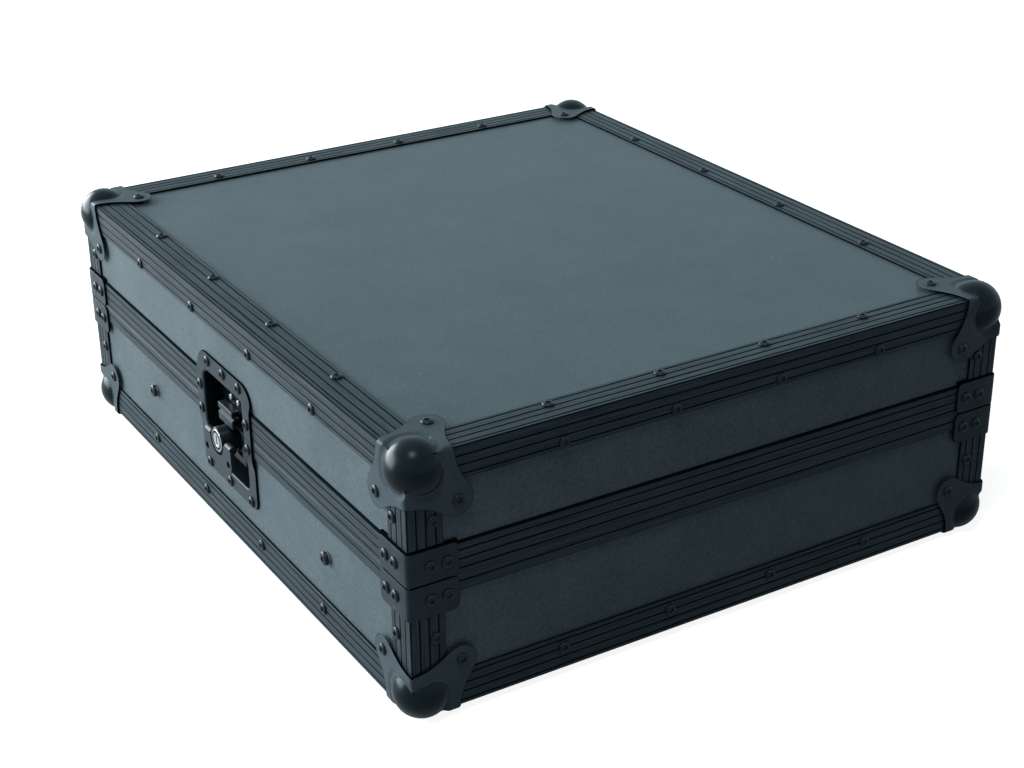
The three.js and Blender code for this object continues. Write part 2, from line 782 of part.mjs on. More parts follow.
// Flap about its cross pin, which lies along local X. It hangs down and lies flat, over the dish.
function flapSolid() {
  const half = flapWidth / 2;
  const outline = [
    [half, 0],
    ...arc([flapNotchRadius - flapNotchRadius, 0], flapNotchRadius, 0, -2, notchSteps),
    [-half, 0],
    ...arc([flapRound - half, flapRound - flapDrop], flapRound, -2, -1, roundSteps),
    ...arc([half - flapRound, flapRound - flapDrop], flapRound, -1, 0, roundSteps),
  ];
  const holes = [-flapHolePlace, flapHolePlace].map((u) =>
    arc([u, -flapHoleDrop], flapHoleRadius, 0, 4, smallSides).slice(1),
  );
  const face = plate(outline, knuckleRadius - flapSheet, knuckleRadius, axisX, axisY, axisZ, holes);
  const length = pinReach - knuckleInset - knuckleStart;
  const knuckles = [-1, 1].map((side) => {
    const middle = side * (knuckleStart + length / 2);
    return bar(knuckleRadius, -length / 2, length / 2, [0, 0], smallSides).rotate(0, 90, 0).translate(middle, 0, 0);
  });
  const bore = bar(pinRadius + fitGap, -flapWidth, flapWidth, [0, 0], smallSides).rotate(0, 90, 0);
  return cutBy(joined([face, ...knuckles]), [bore]);
}

// Hook: a yoke with a cross slot for the eccentric, which steps outwards and ends in the claw
function hookSolid() {
  const slotHalfWidth = eccentricRadius + eccentricOffset + yokeSlack;
  const slotHalfHeight = eccentricRadius + yokePlay;
  const middle = rotorV - eccentricOffset;
  const yokeHalf = yokeWidth / 2;
  const yoke = block(
    [-yokeHalf, middle - slotHalfHeight - yokeMargin, yokeBackW],
    [yokeHalf, middle + slotHalfHeight + yokeMargin / 2, yokeFaceW],
  );
  const slot = block(
    [-slotHalfWidth, middle - slotHalfHeight, yokeBackW - overrun],
    [slotHalfWidth, middle + slotHalfHeight, yokeFaceW + overrun],
  );
  const stepLow = rotorV + barrelRadius + clawClearance;
  const stepHigh = stepLow + hookSheet;
  const clawBack = clawFront - hookSheet;
  const side = [
    [middle + slotHalfHeight, yokeBackW],
    [middle + slotHalfHeight, yokeFaceW],
    [stepLow, yokeFaceW],
    [stepLow, clawFront],
    [clawGrooveStart, clawFront],
    [clawGrooveStart, clawFront - clawGrooveDepth],
    [clawGrooveStart + clawGrooveWidth, clawFront - clawGrooveDepth],
    [clawGrooveStart + clawGrooveWidth, clawFront],
    [clawTop, clawFront],
    [clawTop, clawFront - clawLipReach],
    [clawTop - hookSheet, clawFront - clawLipReach],
    [clawTop - hookSheet, clawBack],
    [stepHigh, clawBack],
    [stepHigh, yokeBackW],
  ];
  const claw = plate(side, -hookWidth / 2, hookWidth / 2, axisY, axisZ, axisX);
  return joined([yoke.subtract(slot), claw]);
}

// Rack rail on a side wall: an angle with a leg on the wall, a flange with the holes, and its two screws
function railSolid() {
  const top = -railTopDrop;
  const wallFace = -panelInner - fitGap;
  const flangeIn = wallFace - railFlangeWidth;
  const length = rackUnit * rackUnits;
  const leg = block(
    [-length / 2, top - railLegHeight, wallFace - railSheet],
    [length / 2, top, wallFace],
  );
  const flange = block([-length / 2, top - railSheet, flangeIn], [length / 2, top, wallFace]);
  const column = flangeIn + railHoleFromEdge;
  const holes = spread(rackUnits, rackUnit).flatMap((unit) =>
    rackHoleShares.map((share) => {
      const u = unit + (share - 0.5) * rackUnit;
      return block(
        [u - rackHole / 2, top - railSheet - overrun, column - rackHole / 2],
        [u + rackHole / 2, top + overrun, column + rackHole / 2],
      );
    }),
  );
  const relief = block(
    [-wallCutHalf, top - railLegHeight - overrun, -dishBack - fitGap - rotorWasherSheet - fitGap],
    [wallCutHalf, top + overrun, wallFace + overrun],
  );
  const seat = -panelInset + fitGap;
  const screws = railScrewPlaces.flatMap((u) => [
    bar(railScrewRadius, wallFace - railSheet, seat, [u, -railScrewDrop], smallSides),
    bar(railScrewHeadRadius, seat, seat + railScrewHeadHeight, [u, -railScrewDrop], smallSides),
  ]);
  return joined([cutBy(joined([leg, flange]), [...holes, relief]), ...screws]);
}

const keeperPiece = keeperSolid();
const rotorPiece = rotorSolid();
const plugPiece = plugSolid();
const flapPiece = flapSolid();
const hookPiece = hookSolid();
const railPiece = railSolid();
const turnedOver = new THREE.Matrix4().makeRotationZ(Math.PI);
const onLatchAxis = new THREE.Matrix4().makeTranslation(0, rotorV, 0);
const onPin = new THREE.Matrix4().makeTranslation(0, rotorV, pinRise);
for (const [side, group] of sideWalls) {
  addPiece(`lid_latch_dish_${side}`, lidDish, coatedSteel(), null, group);
  addPiece(`base_latch_dish_${side}`, baseDish, coatedSteel(), turnedOver, group);
  addPiece(`keeper_${side}`, keeperPiece, zincSteel(), null, group);
  addPiece(`latch_rotor_${side}`, rotorPiece, coatedSteel(), onLatchAxis, group);
  addPiece(`key_plug_${side}`, plugPiece, chromed(), onLatchAxis, group);
  addPiece(`latch_flap_${side}`, flapPiece, coatedSteel(), onPin, group);
  addPiece(`latch_hook_${side}`, hookPiece, coatedSteel(), null, group);
  addPiece(`rack_rail_${side}`, railPiece, zincSteel(), null, group);
}

// Handle on the back wall, about the middle of its plate
const handleGroup = wallGroup(minusX, axisY, 0, halfDepth);
const handleV = handlePlateTop - handlePlateHeight / 2 - splitHeight;
const plateBack = -panelInset + fitGap;
const plateFace = plateBack + handlePlateSheet;

function handlePlateSolid() {
  const halfW = handlePlateWidth / 2;
  const halfH = handlePlateHeight / 2;
  const round = handlePlateRound;
  const outline = [
    ...arc([halfW - round, halfH - round], round, 0, 1, roundSteps),
    ...arc([round - halfW, halfH - round], round, 1, 2, roundSteps),
    ...arc([round - halfW, round - halfH], round, 2, 3, roundSteps),
    ...arc([halfW - round, round - halfH], round, 3, 4, roundSteps),
  ];
  const ears = [-earPlace, earPlace].map((u) => {
    const side = [
      [bowPivotAbove - earHalfHeight, plateBack],
      ...arc([bowPivotAbove, earRise - earHalfHeight], earHalfHeight, 0, 2, 2 * roundSteps).reverse(),
      [bowPivotAbove + earHalfHeight, plateBack],
    ];
    return plate(side, u - earWidth / 2, u + earWidth / 2, axisY, axisZ, axisX);
  });
  const bore = bar(bowRadius + fitGap, -handlePlateWidth, handlePlateWidth, [0, 0], smallSides);
  const heads = [-1, 1].flatMap((x) =>
    [-1, 1].map((y) =>
      rivetAt([x * (halfW - handleRivetInset), y * (halfH - handleRivetInset), plateFace], axisZ),
    ),
  );
  return cutBy(joined([plate(outline, plateBack, plateFace), ...ears]), [
    bore.rotate(0, 90, 0).translate(0, bowPivotAbove, bowRise),
  ]).add(joined(heads));
}

// The bow: a bent bar, with its ends in the ears
function handleBowSolid() {
  const low = bowPivotAbove - bowDrop;
  const corners = [
    arc([bowHalfWidth + bowBend, bowPivotAbove - bowBend], bowBend, 1, 2, bowBendSteps),
    arc([bowHalfWidth - bowBend, low + bowBend], bowBend, 0, -1, bowBendSteps),
  ].flat();
  const half = [[bowEndReach, bowPivotAbove], ...corners];
  const points = [...half, ...half.map(([x, y]) => [-x, y]).reverse()];
  const line = points.map(([x, y]) => new THREE.Vector3(x, y, bowRise));
  return sweptBar(line, bowRadius, bowSides);
}

// A round bar along a line of points that lie in one plane across Z, with a ring at each point.
function sweptBar(points, radius, sides) {
  const rings = points.map((point, i) => {
    const before = points[Math.max(i - 1, 0)];
    const after = points[Math.min(i + 1, points.length - 1)];
    const along = after.clone().sub(before).normalize();
    const across = new THREE.Vector3().crossVectors(axisZ, along);
    return Array.from({ length: sides }, (_, k) => {
      const angle = (2 * Math.PI * k) / sides;
      return point
        .clone()
        .addScaledVector(across, radius * Math.cos(angle))
        .addScaledVector(axisZ, radius * Math.sin(angle));
    });
  });
  const faces = [];
  for (let i = 0; i < rings.length - 1; i += 1) {
    for (let k = 0; k < sides; k += 1) {
      const a = i * sides + k;
      const b = i * sides + ((k + 1) % sides);
      faces.push(a, b, a + sides, b, b + sides, a + sides);
    }
  }
  const last = (rings.length - 1) * sides;
  for (let k = 1; k < sides - 1; k += 1) {
    faces.push(0, k + 1, k, last, last + k, last + k + 1);
  }
  const geometry = new THREE.BufferGeometry();
  const flat = rings.flat().flatMap((v) => [v.x, v.y, v.z]);
  geometry.setAttribute("position", new THREE.Float32BufferAttribute(flat, 3));
  geometry.setIndex(faces);
  return solidOf(geometry);
}

// The grip: an oval sleeve on the bow
function handleGripSolid() {
  const oval = Array.from({ length: gripSides }, (_, k) => {
    const angle = (2 * Math.PI * k) / gripSides;
    return [(gripHeight / 2) * Math.cos(angle), (gripDepth / 2) * Math.sin(angle)];
  });
  const bore = arc([0, 0], bowRadius + fitGap, 0, 4, bowSides).slice(1);
  const sleeve = plate(oval, -gripLength / 2, gripLength / 2, axisY, axisZ, axisX, [bore]);
  return sleeve.translate(0, bowPivotAbove - bowDrop, bowRise);
}

const onHandle = new THREE.Matrix4().makeTranslation(0, handleV, 0);
addPiece("handle_plate", handlePlateSolid(), coatedSteel(), onHandle, handleGroup);
addPiece("handle_bow", handleBowSolid(), coatedSteel(), onHandle, handleGroup);
addPiece("handle_grip", handleGripSolid(), rubberGrip(), onHandle, handleGroup);

export default parts;
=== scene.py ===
"""A mixer rack case: black laminated plywood, ribbed angle extrusions, ball corners and recessed latches."""

import math

import bmesh
import bpy
import numpy as np
from mathutils import Matrix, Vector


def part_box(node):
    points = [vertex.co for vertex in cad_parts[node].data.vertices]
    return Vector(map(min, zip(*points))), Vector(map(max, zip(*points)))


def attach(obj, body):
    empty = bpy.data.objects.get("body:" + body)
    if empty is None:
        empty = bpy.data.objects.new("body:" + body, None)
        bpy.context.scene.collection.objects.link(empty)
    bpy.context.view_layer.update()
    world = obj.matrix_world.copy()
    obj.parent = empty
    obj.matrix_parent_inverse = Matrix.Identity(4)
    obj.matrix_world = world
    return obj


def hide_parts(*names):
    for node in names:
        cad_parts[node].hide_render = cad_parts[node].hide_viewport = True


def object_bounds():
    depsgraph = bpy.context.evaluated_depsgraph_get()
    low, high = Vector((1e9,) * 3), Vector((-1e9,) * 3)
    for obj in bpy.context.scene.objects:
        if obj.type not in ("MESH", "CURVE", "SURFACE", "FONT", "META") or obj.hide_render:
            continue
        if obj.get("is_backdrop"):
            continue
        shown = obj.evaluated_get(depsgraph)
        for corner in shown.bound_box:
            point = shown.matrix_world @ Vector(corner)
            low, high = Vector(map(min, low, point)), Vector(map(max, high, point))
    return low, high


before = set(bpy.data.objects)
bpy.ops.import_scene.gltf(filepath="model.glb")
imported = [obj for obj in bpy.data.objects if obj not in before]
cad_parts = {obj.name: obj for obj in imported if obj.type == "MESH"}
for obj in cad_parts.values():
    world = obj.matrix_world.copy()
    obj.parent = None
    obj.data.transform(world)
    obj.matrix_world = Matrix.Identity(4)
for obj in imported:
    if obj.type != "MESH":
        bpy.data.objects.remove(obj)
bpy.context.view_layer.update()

# Camera
# The view is down on the near corner of the closed case, from its front and left. The matrix has the
# camera's right, up and backward ways and its place, in metres, as columns.
camera = bpy.data.objects.new("camera", bpy.data.cameras.new("camera"))
bpy.context.scene.collection.objects.link(camera)
camera.data.lens = 65.19
camera.data.sensor_width = 36.0
camera.data.clip_end = 30.0
camera.matrix_world = Matrix(
    (
        (0.85407126, 0.23060855, -0.4662424, -0.75252),
        (-0.52006707, 0.3620078, -0.77361528, -1.25077),
        (-0.00961891, 0.90319989, 0.42911237, 0.76912),
        (0.0, 0.0, 0.0, 1.0),
    )
)
bpy.context.scene.camera = camera
bpy.context.scene.view_settings.view_transform = "Standard"


# Floor, backdrop and lamps
# A white studio sweep. The floor keeps the shadow of the case, and the case mirrors the white around it.
# A soft lamp hangs overhead and a large one stands low behind the left wall. The front has no lamp.
def linear(colour):
    """Turns an sRGB hex colour to linear: c / 12.92 up to 0.04045, otherwise ((c + 0.055) / 1.055) ^ 2.4."""
    c = np.array([int(colour[i : i + 2], 16) / 255 for i in (1, 3, 5)])
    c = np.where(c <= 0.04045, c / 12.92, ((c + 0.055) / 1.055) ** 2.4)
    return (*c.tolist(), 1.0)


def node(tree, kind, settings=None, links=None):
    """Adds a shader node and gives its outputs. A setting names an input socket or a property, and a link
    joins an output to an input."""
    made = tree.nodes.new("ShaderNode" + kind)
    for name, value in (settings or {}).items():
        if isinstance(name, int) or name in made.inputs:
            made.inputs[name].default_value = value
        else:
            setattr(made, name, value)
    for name, source in (links or {}).items():
        tree.links.new(source, made.inputs[name])
    return made.outputs


def background_strength(tree, on_camera, mirrored):
    """How strongly the white background shows: one strength to the camera, another in what mirrors it."""
    rays = node(tree, "LightPath")
    links = {0: rays["Is Glossy Ray"], 1: rays["Is Transmission Ray"]}
    bent = node(tree, "Math", {"operation": "MAXIMUM"}, links)
    bent = node(tree, "Math", {"operation": "MULTIPLY", 1: mirrored}, {0: bent[0]})
    straight = node(tree, "Math", {"operation": "MULTIPLY", 1: on_camera}, {0: rays["Is Camera Ray"]})
    return node(tree, "Math", {"operation": "MAXIMUM"}, {0: bent[0], 1: straight[0]})[0]


def background_colour(tree):
    """White to the camera, and a slightly cool white in what mirrors it."""
    rays = node(tree, "LightPath")
    settings = {"data_type": "RGBA", "A": linear("#d2ecf6"), "B": (1, 1, 1, 1)}
    return node(tree, "Mix", settings, {"Factor": rays["Is Camera Ray"]})["Result"]


world = bpy.data.worlds.new("studio")
bpy.context.scene.world = world
world.use_nodes = True
tree = world.node_tree
tree.nodes.clear()
links = {"Color": background_colour(tree), "Strength": background_strength(tree, 1.0, 1.1)}
white = node(tree, "Background", None, links)
dim = node(tree, "Background", {"Color": linear("#dfe8ee"), "Strength": 0.045})
rays = node(tree, "LightPath")
mixed = node(tree, "MixShader", None, {0: rays["Is Diffuse Ray"], 1: white[0], 2: dim[0]})
node(tree, "OutputWorld", None, {"Surface": mixed[0]})

floor_mesh = bpy.data.meshes.new("floor")
floor_mesh.from_pydata([(-9, -9, 0), (9, -9, 0), (9, 9, 0), (-9, 9, 0)], [], [(0, 1, 2, 3)])
floor = bpy.data.objects.new("floor", floor_mesh)
bpy.context.scene.collection.objects.link(floor)
paper = bpy.data.materials.new("matt_studio_paper")
paper.use_nodes = True
tree = paper.node_tree
tree.nodes.clear()
links = {"Color": background_colour(tree), "Strength": background_strength(tree, 0.9, 0.25)}
matt = node(tree, "BsdfDiffuse", {"Color": linear("#bac1c5")})
glow = node(tree, "Emission", None, links)
both = node(tree, "AddShader", None, {0: matt[0], 1: glow[0]})
node(tree, "OutputMaterial", None, {"Surface": both[0]})
floor_mesh.materials.append(paper)
floor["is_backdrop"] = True

for name, place, aim, wide, high, power in (
    ("lamp_above", (-0.6, -0.75, 2.3), (-0.1, -0.1, 0.1), 0.6, 0.6, 17.5),
    ("lamp_back_left", (-2.3, 2.7, 1.05), (0, 0, 0.1), 4.8, 2, 391),
):
    lamp = bpy.data.objects.new(name, bpy.data.lights.new(name, "AREA"))
    lamp.data.shape = "RECTANGLE"
    lamp.data.size, lamp.data.size_y = wide, high
    lamp.data.energy = power
    away = np.array(place) - np.array(aim)
    away = away / np.linalg.norm(away)
    side = np.cross((0, 0, 1), away)
    side = side / np.linalg.norm(side)
    turn = np.eye(4)
    turn[:3] = np.stack([side, np.cross(away, side), away, place], 1)
    lamp.matrix_world = Matrix(turn.tolist())
    bpy.context.scene.collection.objects.link(lamp)

# Panels
# Birch plywood faced with black phenolic laminate. The face is pressed with a fine pebbled texture, so it
# takes a soft sheen, and handling leaves faint paler marks on it. The CAD boards have the right shape.
MM = 0.001


def finish(name, colour, roughness, metallic=0.0, ior=1.5, tint=None):
    """Starts a material: a Principled shader with a colour, roughness, metallic, IOR and tint of shine."""
    made = bpy.data.materials.new(name)
    made.use_nodes = True
    shader = made.node_tree.nodes["Principled BSDF"]
    for part, value in (("Base Color", linear(colour)), ("Roughness", roughness), ("Metallic", metallic)):
        shader.inputs[part].default_value = value
    if metallic < 1:
        shader.inputs["IOR"].default_value = ior
    if tint:
        shader.inputs["Specular Tint"].default_value = linear(tint)
    return made, made.node_tree, shader


def clouds(tree, shader, size, detail, dark, pale, dullness=None, fineness=0.5):
    """Noise in clouds of a size drifts between two tones, and between two values of roughness if they are
    given. Gives the noise and the tone."""
    place = node(tree, "TexCoord")
    settings = {"Scale": 1 / size, "Detail": detail, "Roughness": fineness}
    noise = node(tree, "TexNoise", settings, {"Vector": place["Object"]})["Fac"]
    if dullness:
        dull = node(tree, "MapRange", {"To Min": dullness[0], "To Max": dullness[1]}, {"Value": noise})
        tree.links.new(dull[0], shader.inputs["Roughness"])
    settings = {"data_type": "RGBA", "A": linear(dark), "B": linear(pale)}
    return noise, node(tree, "Mix", settings, {"Factor": noise})["Result"]


def marks(tree, tone, noise, low, high, most, colour):
    """Marks of a colour over a tone: none where the noise is low, and at most a share where it is high."""
    settings = {"From Min": low, "From Max": high, "To Min": 0.0, "To Max": most}
    share = node(tree, "MapRange", settings, {"Value": noise})[0]
    settings = {"data_type": "RGBA", "B": linear(colour)}
    return node(tree, "Mix", settings, {"Factor": share, "A": tone})["Result"]


# Phenolic laminate: pressed under heat on a textured plate, which gives a dull, even sheen. Its pebble is
# finer than a millimetre, which wouldn't show, so it is drawn at 1.6 mm.
laminate, tree, shader = finish("phenolic_laminate", "#434f56", 0.46, ior=1.33, tint="#c0e1ee")
_, tone = clouds(tree, shader, 60 * MM, 5.0, "#303c42", "#536067", (0.42, 0.56), 0.72)
place = node(tree, "TexCoord")["Object"]
grain = node(tree, "TexNoise", {"Scale": 1 / (1.6 * MM), "Detail": 2.0}, {"Vector": place})
scuff = node(tree, "Mapping", {"Scale": (1.0, 0.35, 1.0), "Rotation": (0.2, 0.1, 0.5)}, {"Vector": place})
settings = {"Scale": 1 / (9 * MM), "Detail": 6.0, "Roughness": 0.75}
scuff = node(tree, "TexNoise", settings, {"Vector": scuff[0]})
marked = marks(tree, tone, scuff["Fac"], 0.66, 0.76, 0.35, "#8babb9")
settings = {"From Min": 0.25, "From Max": 0.75, "To Min": 0.7, "To Max": 1.3}
speck = node(tree, "MapRange", settings, {"Value": grain["Fac"]})
marked = node(tree, "VectorMath", {"operation": "SCALE"}, {0: marked, "Scale": speck[0]})
tree.links.new(marked[0], shader.inputs["Base Color"])
shader.inputs["Sheen Weight"].default_value = 0.05
shader.inputs["Sheen Roughness"].default_value = 0.4
shader.inputs["Sheen Tint"].default_value = linear("#c8e6f2")
pebble = node(tree, "Bump", {"Strength": 0.35, "Distance": 0.08 * MM}, {"Height": grain["Fac"]})
tree.links.new(pebble[0], shader.inputs["Normal"])
for name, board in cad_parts.items():
    if name.endswith("_panel"):
        board.data.materials.clear()
        board.data.materials.append(laminate)

# Edge angles
# Ribbed aluminium extrusions, anodised black, riveted over the edges of the boards and mitred at the corners.
# The lid's have their wide flange on top, and the base's have it on the wall.
WIDTH, DEPTH, HEIGHT = 530 * MM, 610 * MM, 204 * MM
STAND = 6 * MM
SPLIT = STAND + 107.5 * MM
TOP = STAND + HEIGHT
SHEET = 1.5 * MM
FIT = 0.3 * MM
WIDE_FLANGE, NARROW_FLANGE = 28.5 * MM, 25 * MM
WIDE_GROOVES = np.array([3.7, 10.8, 17.7, 24.8]) * MM
NARROW_GROOVES = np.array([7.5, 14.5, 21.5]) * MM
GROOVE_DEPTH, GROOVE_HALF = 0.6 * MM, 0.6 * MM
BALL_CENTRE = 14.5 * MM
X, Y, Z = np.eye(3)


def with_painted_shade(tree, shader, tone, shade_colour):
    """Paints shade into a tone: darker by a share that a uv map holds, how deep a point lies in a groove or a
    share given for a dark edge or recess. Gives that share, 0 to 1.
    """
    depth = node(tree, "UVMap", {"uv_map": "groove"})
    depth = node(tree, "SeparateXYZ", None, {0: depth[0]})[0]
    dark = node(tree, "Mix", {"data_type": "RGBA", "B": linear(shade_colour)}, {"Factor": depth, "A": tone})
    tree.links.new(dark["Result"], shader.inputs["Base Color"])
    return depth


# Black anodised aluminium: drawn through a die, so fine lines run along it, and worn to bare metal in specks.
anodised, tree, shader = finish("black_anodised_aluminium", "#1d262b", 0.4, ior=1.32, tint="#bfdcee")
place = node(tree, "UVMap", {"uv_map": "run"})
stretch = node(tree, "Mapping", {"Scale": (14.0, 900.0, 1.0)}, {"Vector": place[0]})
lines = node(tree, "TexNoise", {"Scale": 1.0, "Detail": 5.0, "Roughness": 0.65}, {"Vector": stretch[0]})
lines = node(tree, "MapRange", {"From Min": 0.3, "From Max": 0.7}, {"Value": lines["Fac"]})[0]
spots = node(tree, "TexCoord")
settings = {"Scale": 1 / (6 * MM), "Detail": 8.0, "Roughness": 0.8}
worn = node(tree, "TexNoise", settings, {"Vector": spots["Object"]})
settings = {"data_type": "RGBA", "A": linear("#0e1315"), "B": linear("#2c3940")}
tone = node(tree, "Mix", settings, {"Factor": lines})["Result"]
marked = marks(tree, tone, worn["Fac"], 0.69, 0.75, 0.5, "#cce2ea")
# Painted shade: the grooves turn darker by their depth and lose their shine.
depth = with_painted_shade(tree, shader, marked, "#0b1114")
dull = node(tree, "MapRange", {"To Min": 0.54, "To Max": 0.32}, {"Value": lines})
tree.links.new(dull[0], shader.inputs["Roughness"])
settings = {"From Min": 0.0, "From Max": 0.2, "To Min": 1.0, "To Max": 0.0}
sheen = node(tree, "MapRange", settings, {"Value": depth})
gloss = node(tree, "MapRange", {"To Min": 0.3, "To Max": 0.7}, {"Value": lines})
sheen = node(tree, "Math", {"operation": "MULTIPLY"}, {0: sheen[0], 1: gloss[0]})
tree.links.new(sheen[0], shader.inputs["Specular IOR Level"])
drawn = node(tree, "Bump", {"Strength": 0.3, "Distance": 0.05 * MM}, {"Height": lines})
tree.links.new(drawn[0], shader.inputs["Normal"])


def quads(rows, columns, wrap=False):
    """The faces of a grid of points: each joins a point to the next column and the next row."""
    c = np.arange(columns if wrap else columns - 1)
    r = np.arange(rows - 1)[:, None] * columns
    n = (c + 1) % columns
    return np.stack([r + c, r + n, r + n + columns, r + c + columns], -1).reshape(-1, 4)


def piece(name, points, faces, material, body, stands_for=(), uv=None, sharp=35):
    """Puts points and faces in one mesh, welds doubles, turns faces outwards and lets it ride on a body."""
    mesh = bpy.data.meshes.new(name)
    mesh.from_pydata(np.reshape(points, (-1, 3)).tolist(), [], [list(f) for f in faces])
    if uv is not None:
        corner = np.zeros(len(mesh.loops), np.int32)
        mesh.loops.foreach_get("vertex_index", corner)
        uv = np.reshape(uv, (-1, 3))[corner]
        mesh.uv_layers.new(name="run").data.foreach_set("uv", uv[:, :2].ravel())
        # The groove map holds each point's share of painted shade.
        mesh.uv_layers.new(name="groove").data.foreach_set("uv", uv[:, [2, 2]].ravel())
    work = bmesh.new()
    work.from_mesh(mesh)
    bmesh.ops.remove_doubles(work, verts=work.verts, dist=1e-6)
    bmesh.ops.dissolve_degenerate(work, edges=work.edges, dist=1e-6)
    bmesh.ops.recalc_face_normals(work, faces=work.faces)
    work.to_mesh(mesh)
    work.free()
    mesh.polygons.foreach_set("use_smooth", np.ones(len(mesh.polygons), bool))
    mesh.set_sharp_from_angle(angle=math.radians(sharp))
    mesh.materials.append(material)
    made = bpy.data.objects.new(name, mesh)
    bpy.context.scene.collection.objects.link(made)
    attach(made, body)
    if stands_for:
        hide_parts(*stands_for)
    return made


def grooved(flange, grooves):
    """Points along a flange from its ridge: distance, and depth of a groove with a lip and a cosine floor."""
    around = np.array([-1.8, -1.35, -1, -0.6, -0.3, 0, 0.3, 0.6, 1, 1.35, 1.8]) * GROOVE_HALF
    at_ridge, at_edge = np.array([1.4, 1.9]) * MM, flange - np.array([0.9, 0.5]) * MM
    along = np.concatenate([at_ridge, *(g + around for g in grooves), at_edge])
    near = np.abs(along[:, None] - np.asarray(grooves)[None, :]).min(1)
    floor = GROOVE_DEPTH * (0.6 + 0.4 * np.cos(np.pi * near / GROOVE_HALF))
    return along, np.where(near < 1.1 * GROOVE_HALF, floor, 0.0)


def angle_profile(flange_a, grooves_a, flange_b, grooves_b):
    """Outer and inner line of a ribbed angle, point for point: flange a, a round ridge, then flange b."""
    a, a_down = grooved(flange_a, grooves_a)
    b, b_down = grooved(flange_b, grooves_b)
    bend = np.radians(np.linspace(15, 75, 5))
    r, low = 1.4 * MM, 0.4 * MM
    ridge = np.stack([r - r * np.sin(bend), r - r * np.cos(bend)], 1)
    outer = [[(flange_a, SHEET), (flange_a, low)], np.stack([a, a_down], 1)[::-1], ridge]
    outer += [np.stack([b_down, b], 1), [(low, flange_b), (SHEET, flange_b)]]
    outer = np.concatenate(outer)
    inner = outer.copy()
    split = len(a) + 2 + len(ridge) // 2
    inner[:split, 1], inner[split:, 0] = SHEET, SHEET
    return outer, np.maximum(inner, SHEET)


def carried(outer, inner, ends, across_a, across_b, along, origin):
    """Carries a sheet's profile along a line. The ends are two functions of how far in a point lies.
    A point's uv is its place along the line, its place round the profile and its depth in a groove."""
    line = np.concatenate([outer, inner[::-1]])
    sunk = np.concatenate([outer.min(1) / GROOVE_DEPTH, 0 * inner[:, 0]])
    low, high = ends(np.maximum(line.max(1), 0))
    n = len(line)
    spot = line[:, :1] * across_a + line[:, 1:] * across_b + origin
    points = np.concatenate([spot + low[:, None] * along, spot + high[:, None] * along])
    run = np.concatenate([[0], np.cumsum(np.linalg.norm(np.diff(line, axis=0), axis=1))])
    uv = np.concatenate([np.stack([low, run, sunk], 1), np.stack([high, run, sunk], 1)])
    i = np.arange(len(outer) - 1)
    cap = np.stack([i, i + 1, n - 2 - i, n - 1 - i], 1)
    return points, np.concatenate([quads(2, n, wrap=True), cap, cap + n]), uv


def mitred_ends(length):
    """Each point stops short of the corner by as much as it lies in, and clear of the ball."""
    return lambda reach: (
        -length / 2 + FIT + np.maximum(reach, BALL_CENTRE),
        length / 2 - FIT - np.maximum(reach, BALL_CENTRE),
    )


for shell, level, inward in (("lid", TOP, -1), ("base", STAND, 1)):
    outer, inner = angle_profile(WIDE_FLANGE, WIDE_GROOVES, NARROW_FLANGE, NARROW_GROOVES)
    for side, along, length, across, half in (
        ("front", X, WIDTH, Y, DEPTH / 2),
        ("back", X, WIDTH, -Y, DEPTH / 2),
        ("left", Y, DEPTH, X, WIDTH / 2),
        ("right", Y, DEPTH, -X, WIDTH / 2),
    ):
        a, b = (across, inward * Z) if shell == "lid" else (inward * Z, across)
        origin = level * Z - half * across
        points, faces, uv = carried(outer, inner, mitred_ends(length), a, b, along, origin)
        name = f"{shell}_edge_{side}"
        piece(f"{name}_angle", points, faces, anodised, shell, (name,), uv)

# Corner posts and braces
# The same kind of extrusion stands at each upright edge. Its end at the parting line is held by a brace, a
# pressed steel angle with rounded corners that is riveted over the post and over the closure profile.
POST = 27.6 * MM
POST_GROOVES = np.array([7.3, 14.6, 22.1]) * MM
LID_BAND, BASE_BAND = 23 * MM, 14 * MM
BRACE_REACH, BRACE_HEIGHT = 38.5 * MM, 26.2 * MM
BRACE_OUT, BRACE_BACK, BRACE_EDGE = 1.8 * MM, 0.3 * MM, 0.35 * MM


def coat(name, dark, pale, gloss, dullness):
    """Black powder coat: two tones in soft clouds, pale chips, a faint orange peel, and painted shade without
    shine where a uv map gives it.
    """
    made, tree, shader = finish(name, dark, 0.3, ior=1.3, tint="#c2deef")
    place = node(tree, "TexCoord")["Object"]
    peel = node(tree, "TexNoise", {"Scale": 1 / (2.2 * MM), "Detail": 2.0}, {"Vector": place})
    rub, tone = clouds(tree, shader, 14 * MM, 7.0, dark, pale, (dullness, dullness + 0.16), 0.7)
    marked = marks(tree, tone, rub, 0.68, 0.74, 0.6, "#bed2db")
    # Painted shade: darker, and without shine, by the share the groove map holds.
    depth = with_painted_shade(tree, shader, marked, "#070c0e")
    sheen = node(tree, "MapRange", {"From Max": 0.35, "To Min": gloss, "To Max": 0.0}, {"Value": depth})
    tree.links.new(sheen[0], shader.inputs["Specular IOR Level"])
    skin = node(tree, "Bump", {"Strength": 0.2, "Distance": 0.06 * MM}, {"Height": peel["Fac"]})
    tree.links.new(skin[0], shader.inputs["Normal"])
    return made


# Black powder-coated steel: sprayed and baked, so it is smooth with a faint orange peel and a soft gloss.
coated = coat("powder_coated_steel", "#151d22", "#222f34", 0.5, 0.26)
# The ball corners take one coat in two tones: the leaves a duller, paler one and the balls a glossier, darker
# one. The two tones are painted light and shade, paler on the leaves and darker on the balls.
dull_coated = coat("dull_powder_coated_steel", "#303c42", "#46535b", 0.26, 0.3)
dark_ball_coat = coat("powder_coated_steel_painted_dark", "#0a1012", "#141d21", 0.42, 0.2)


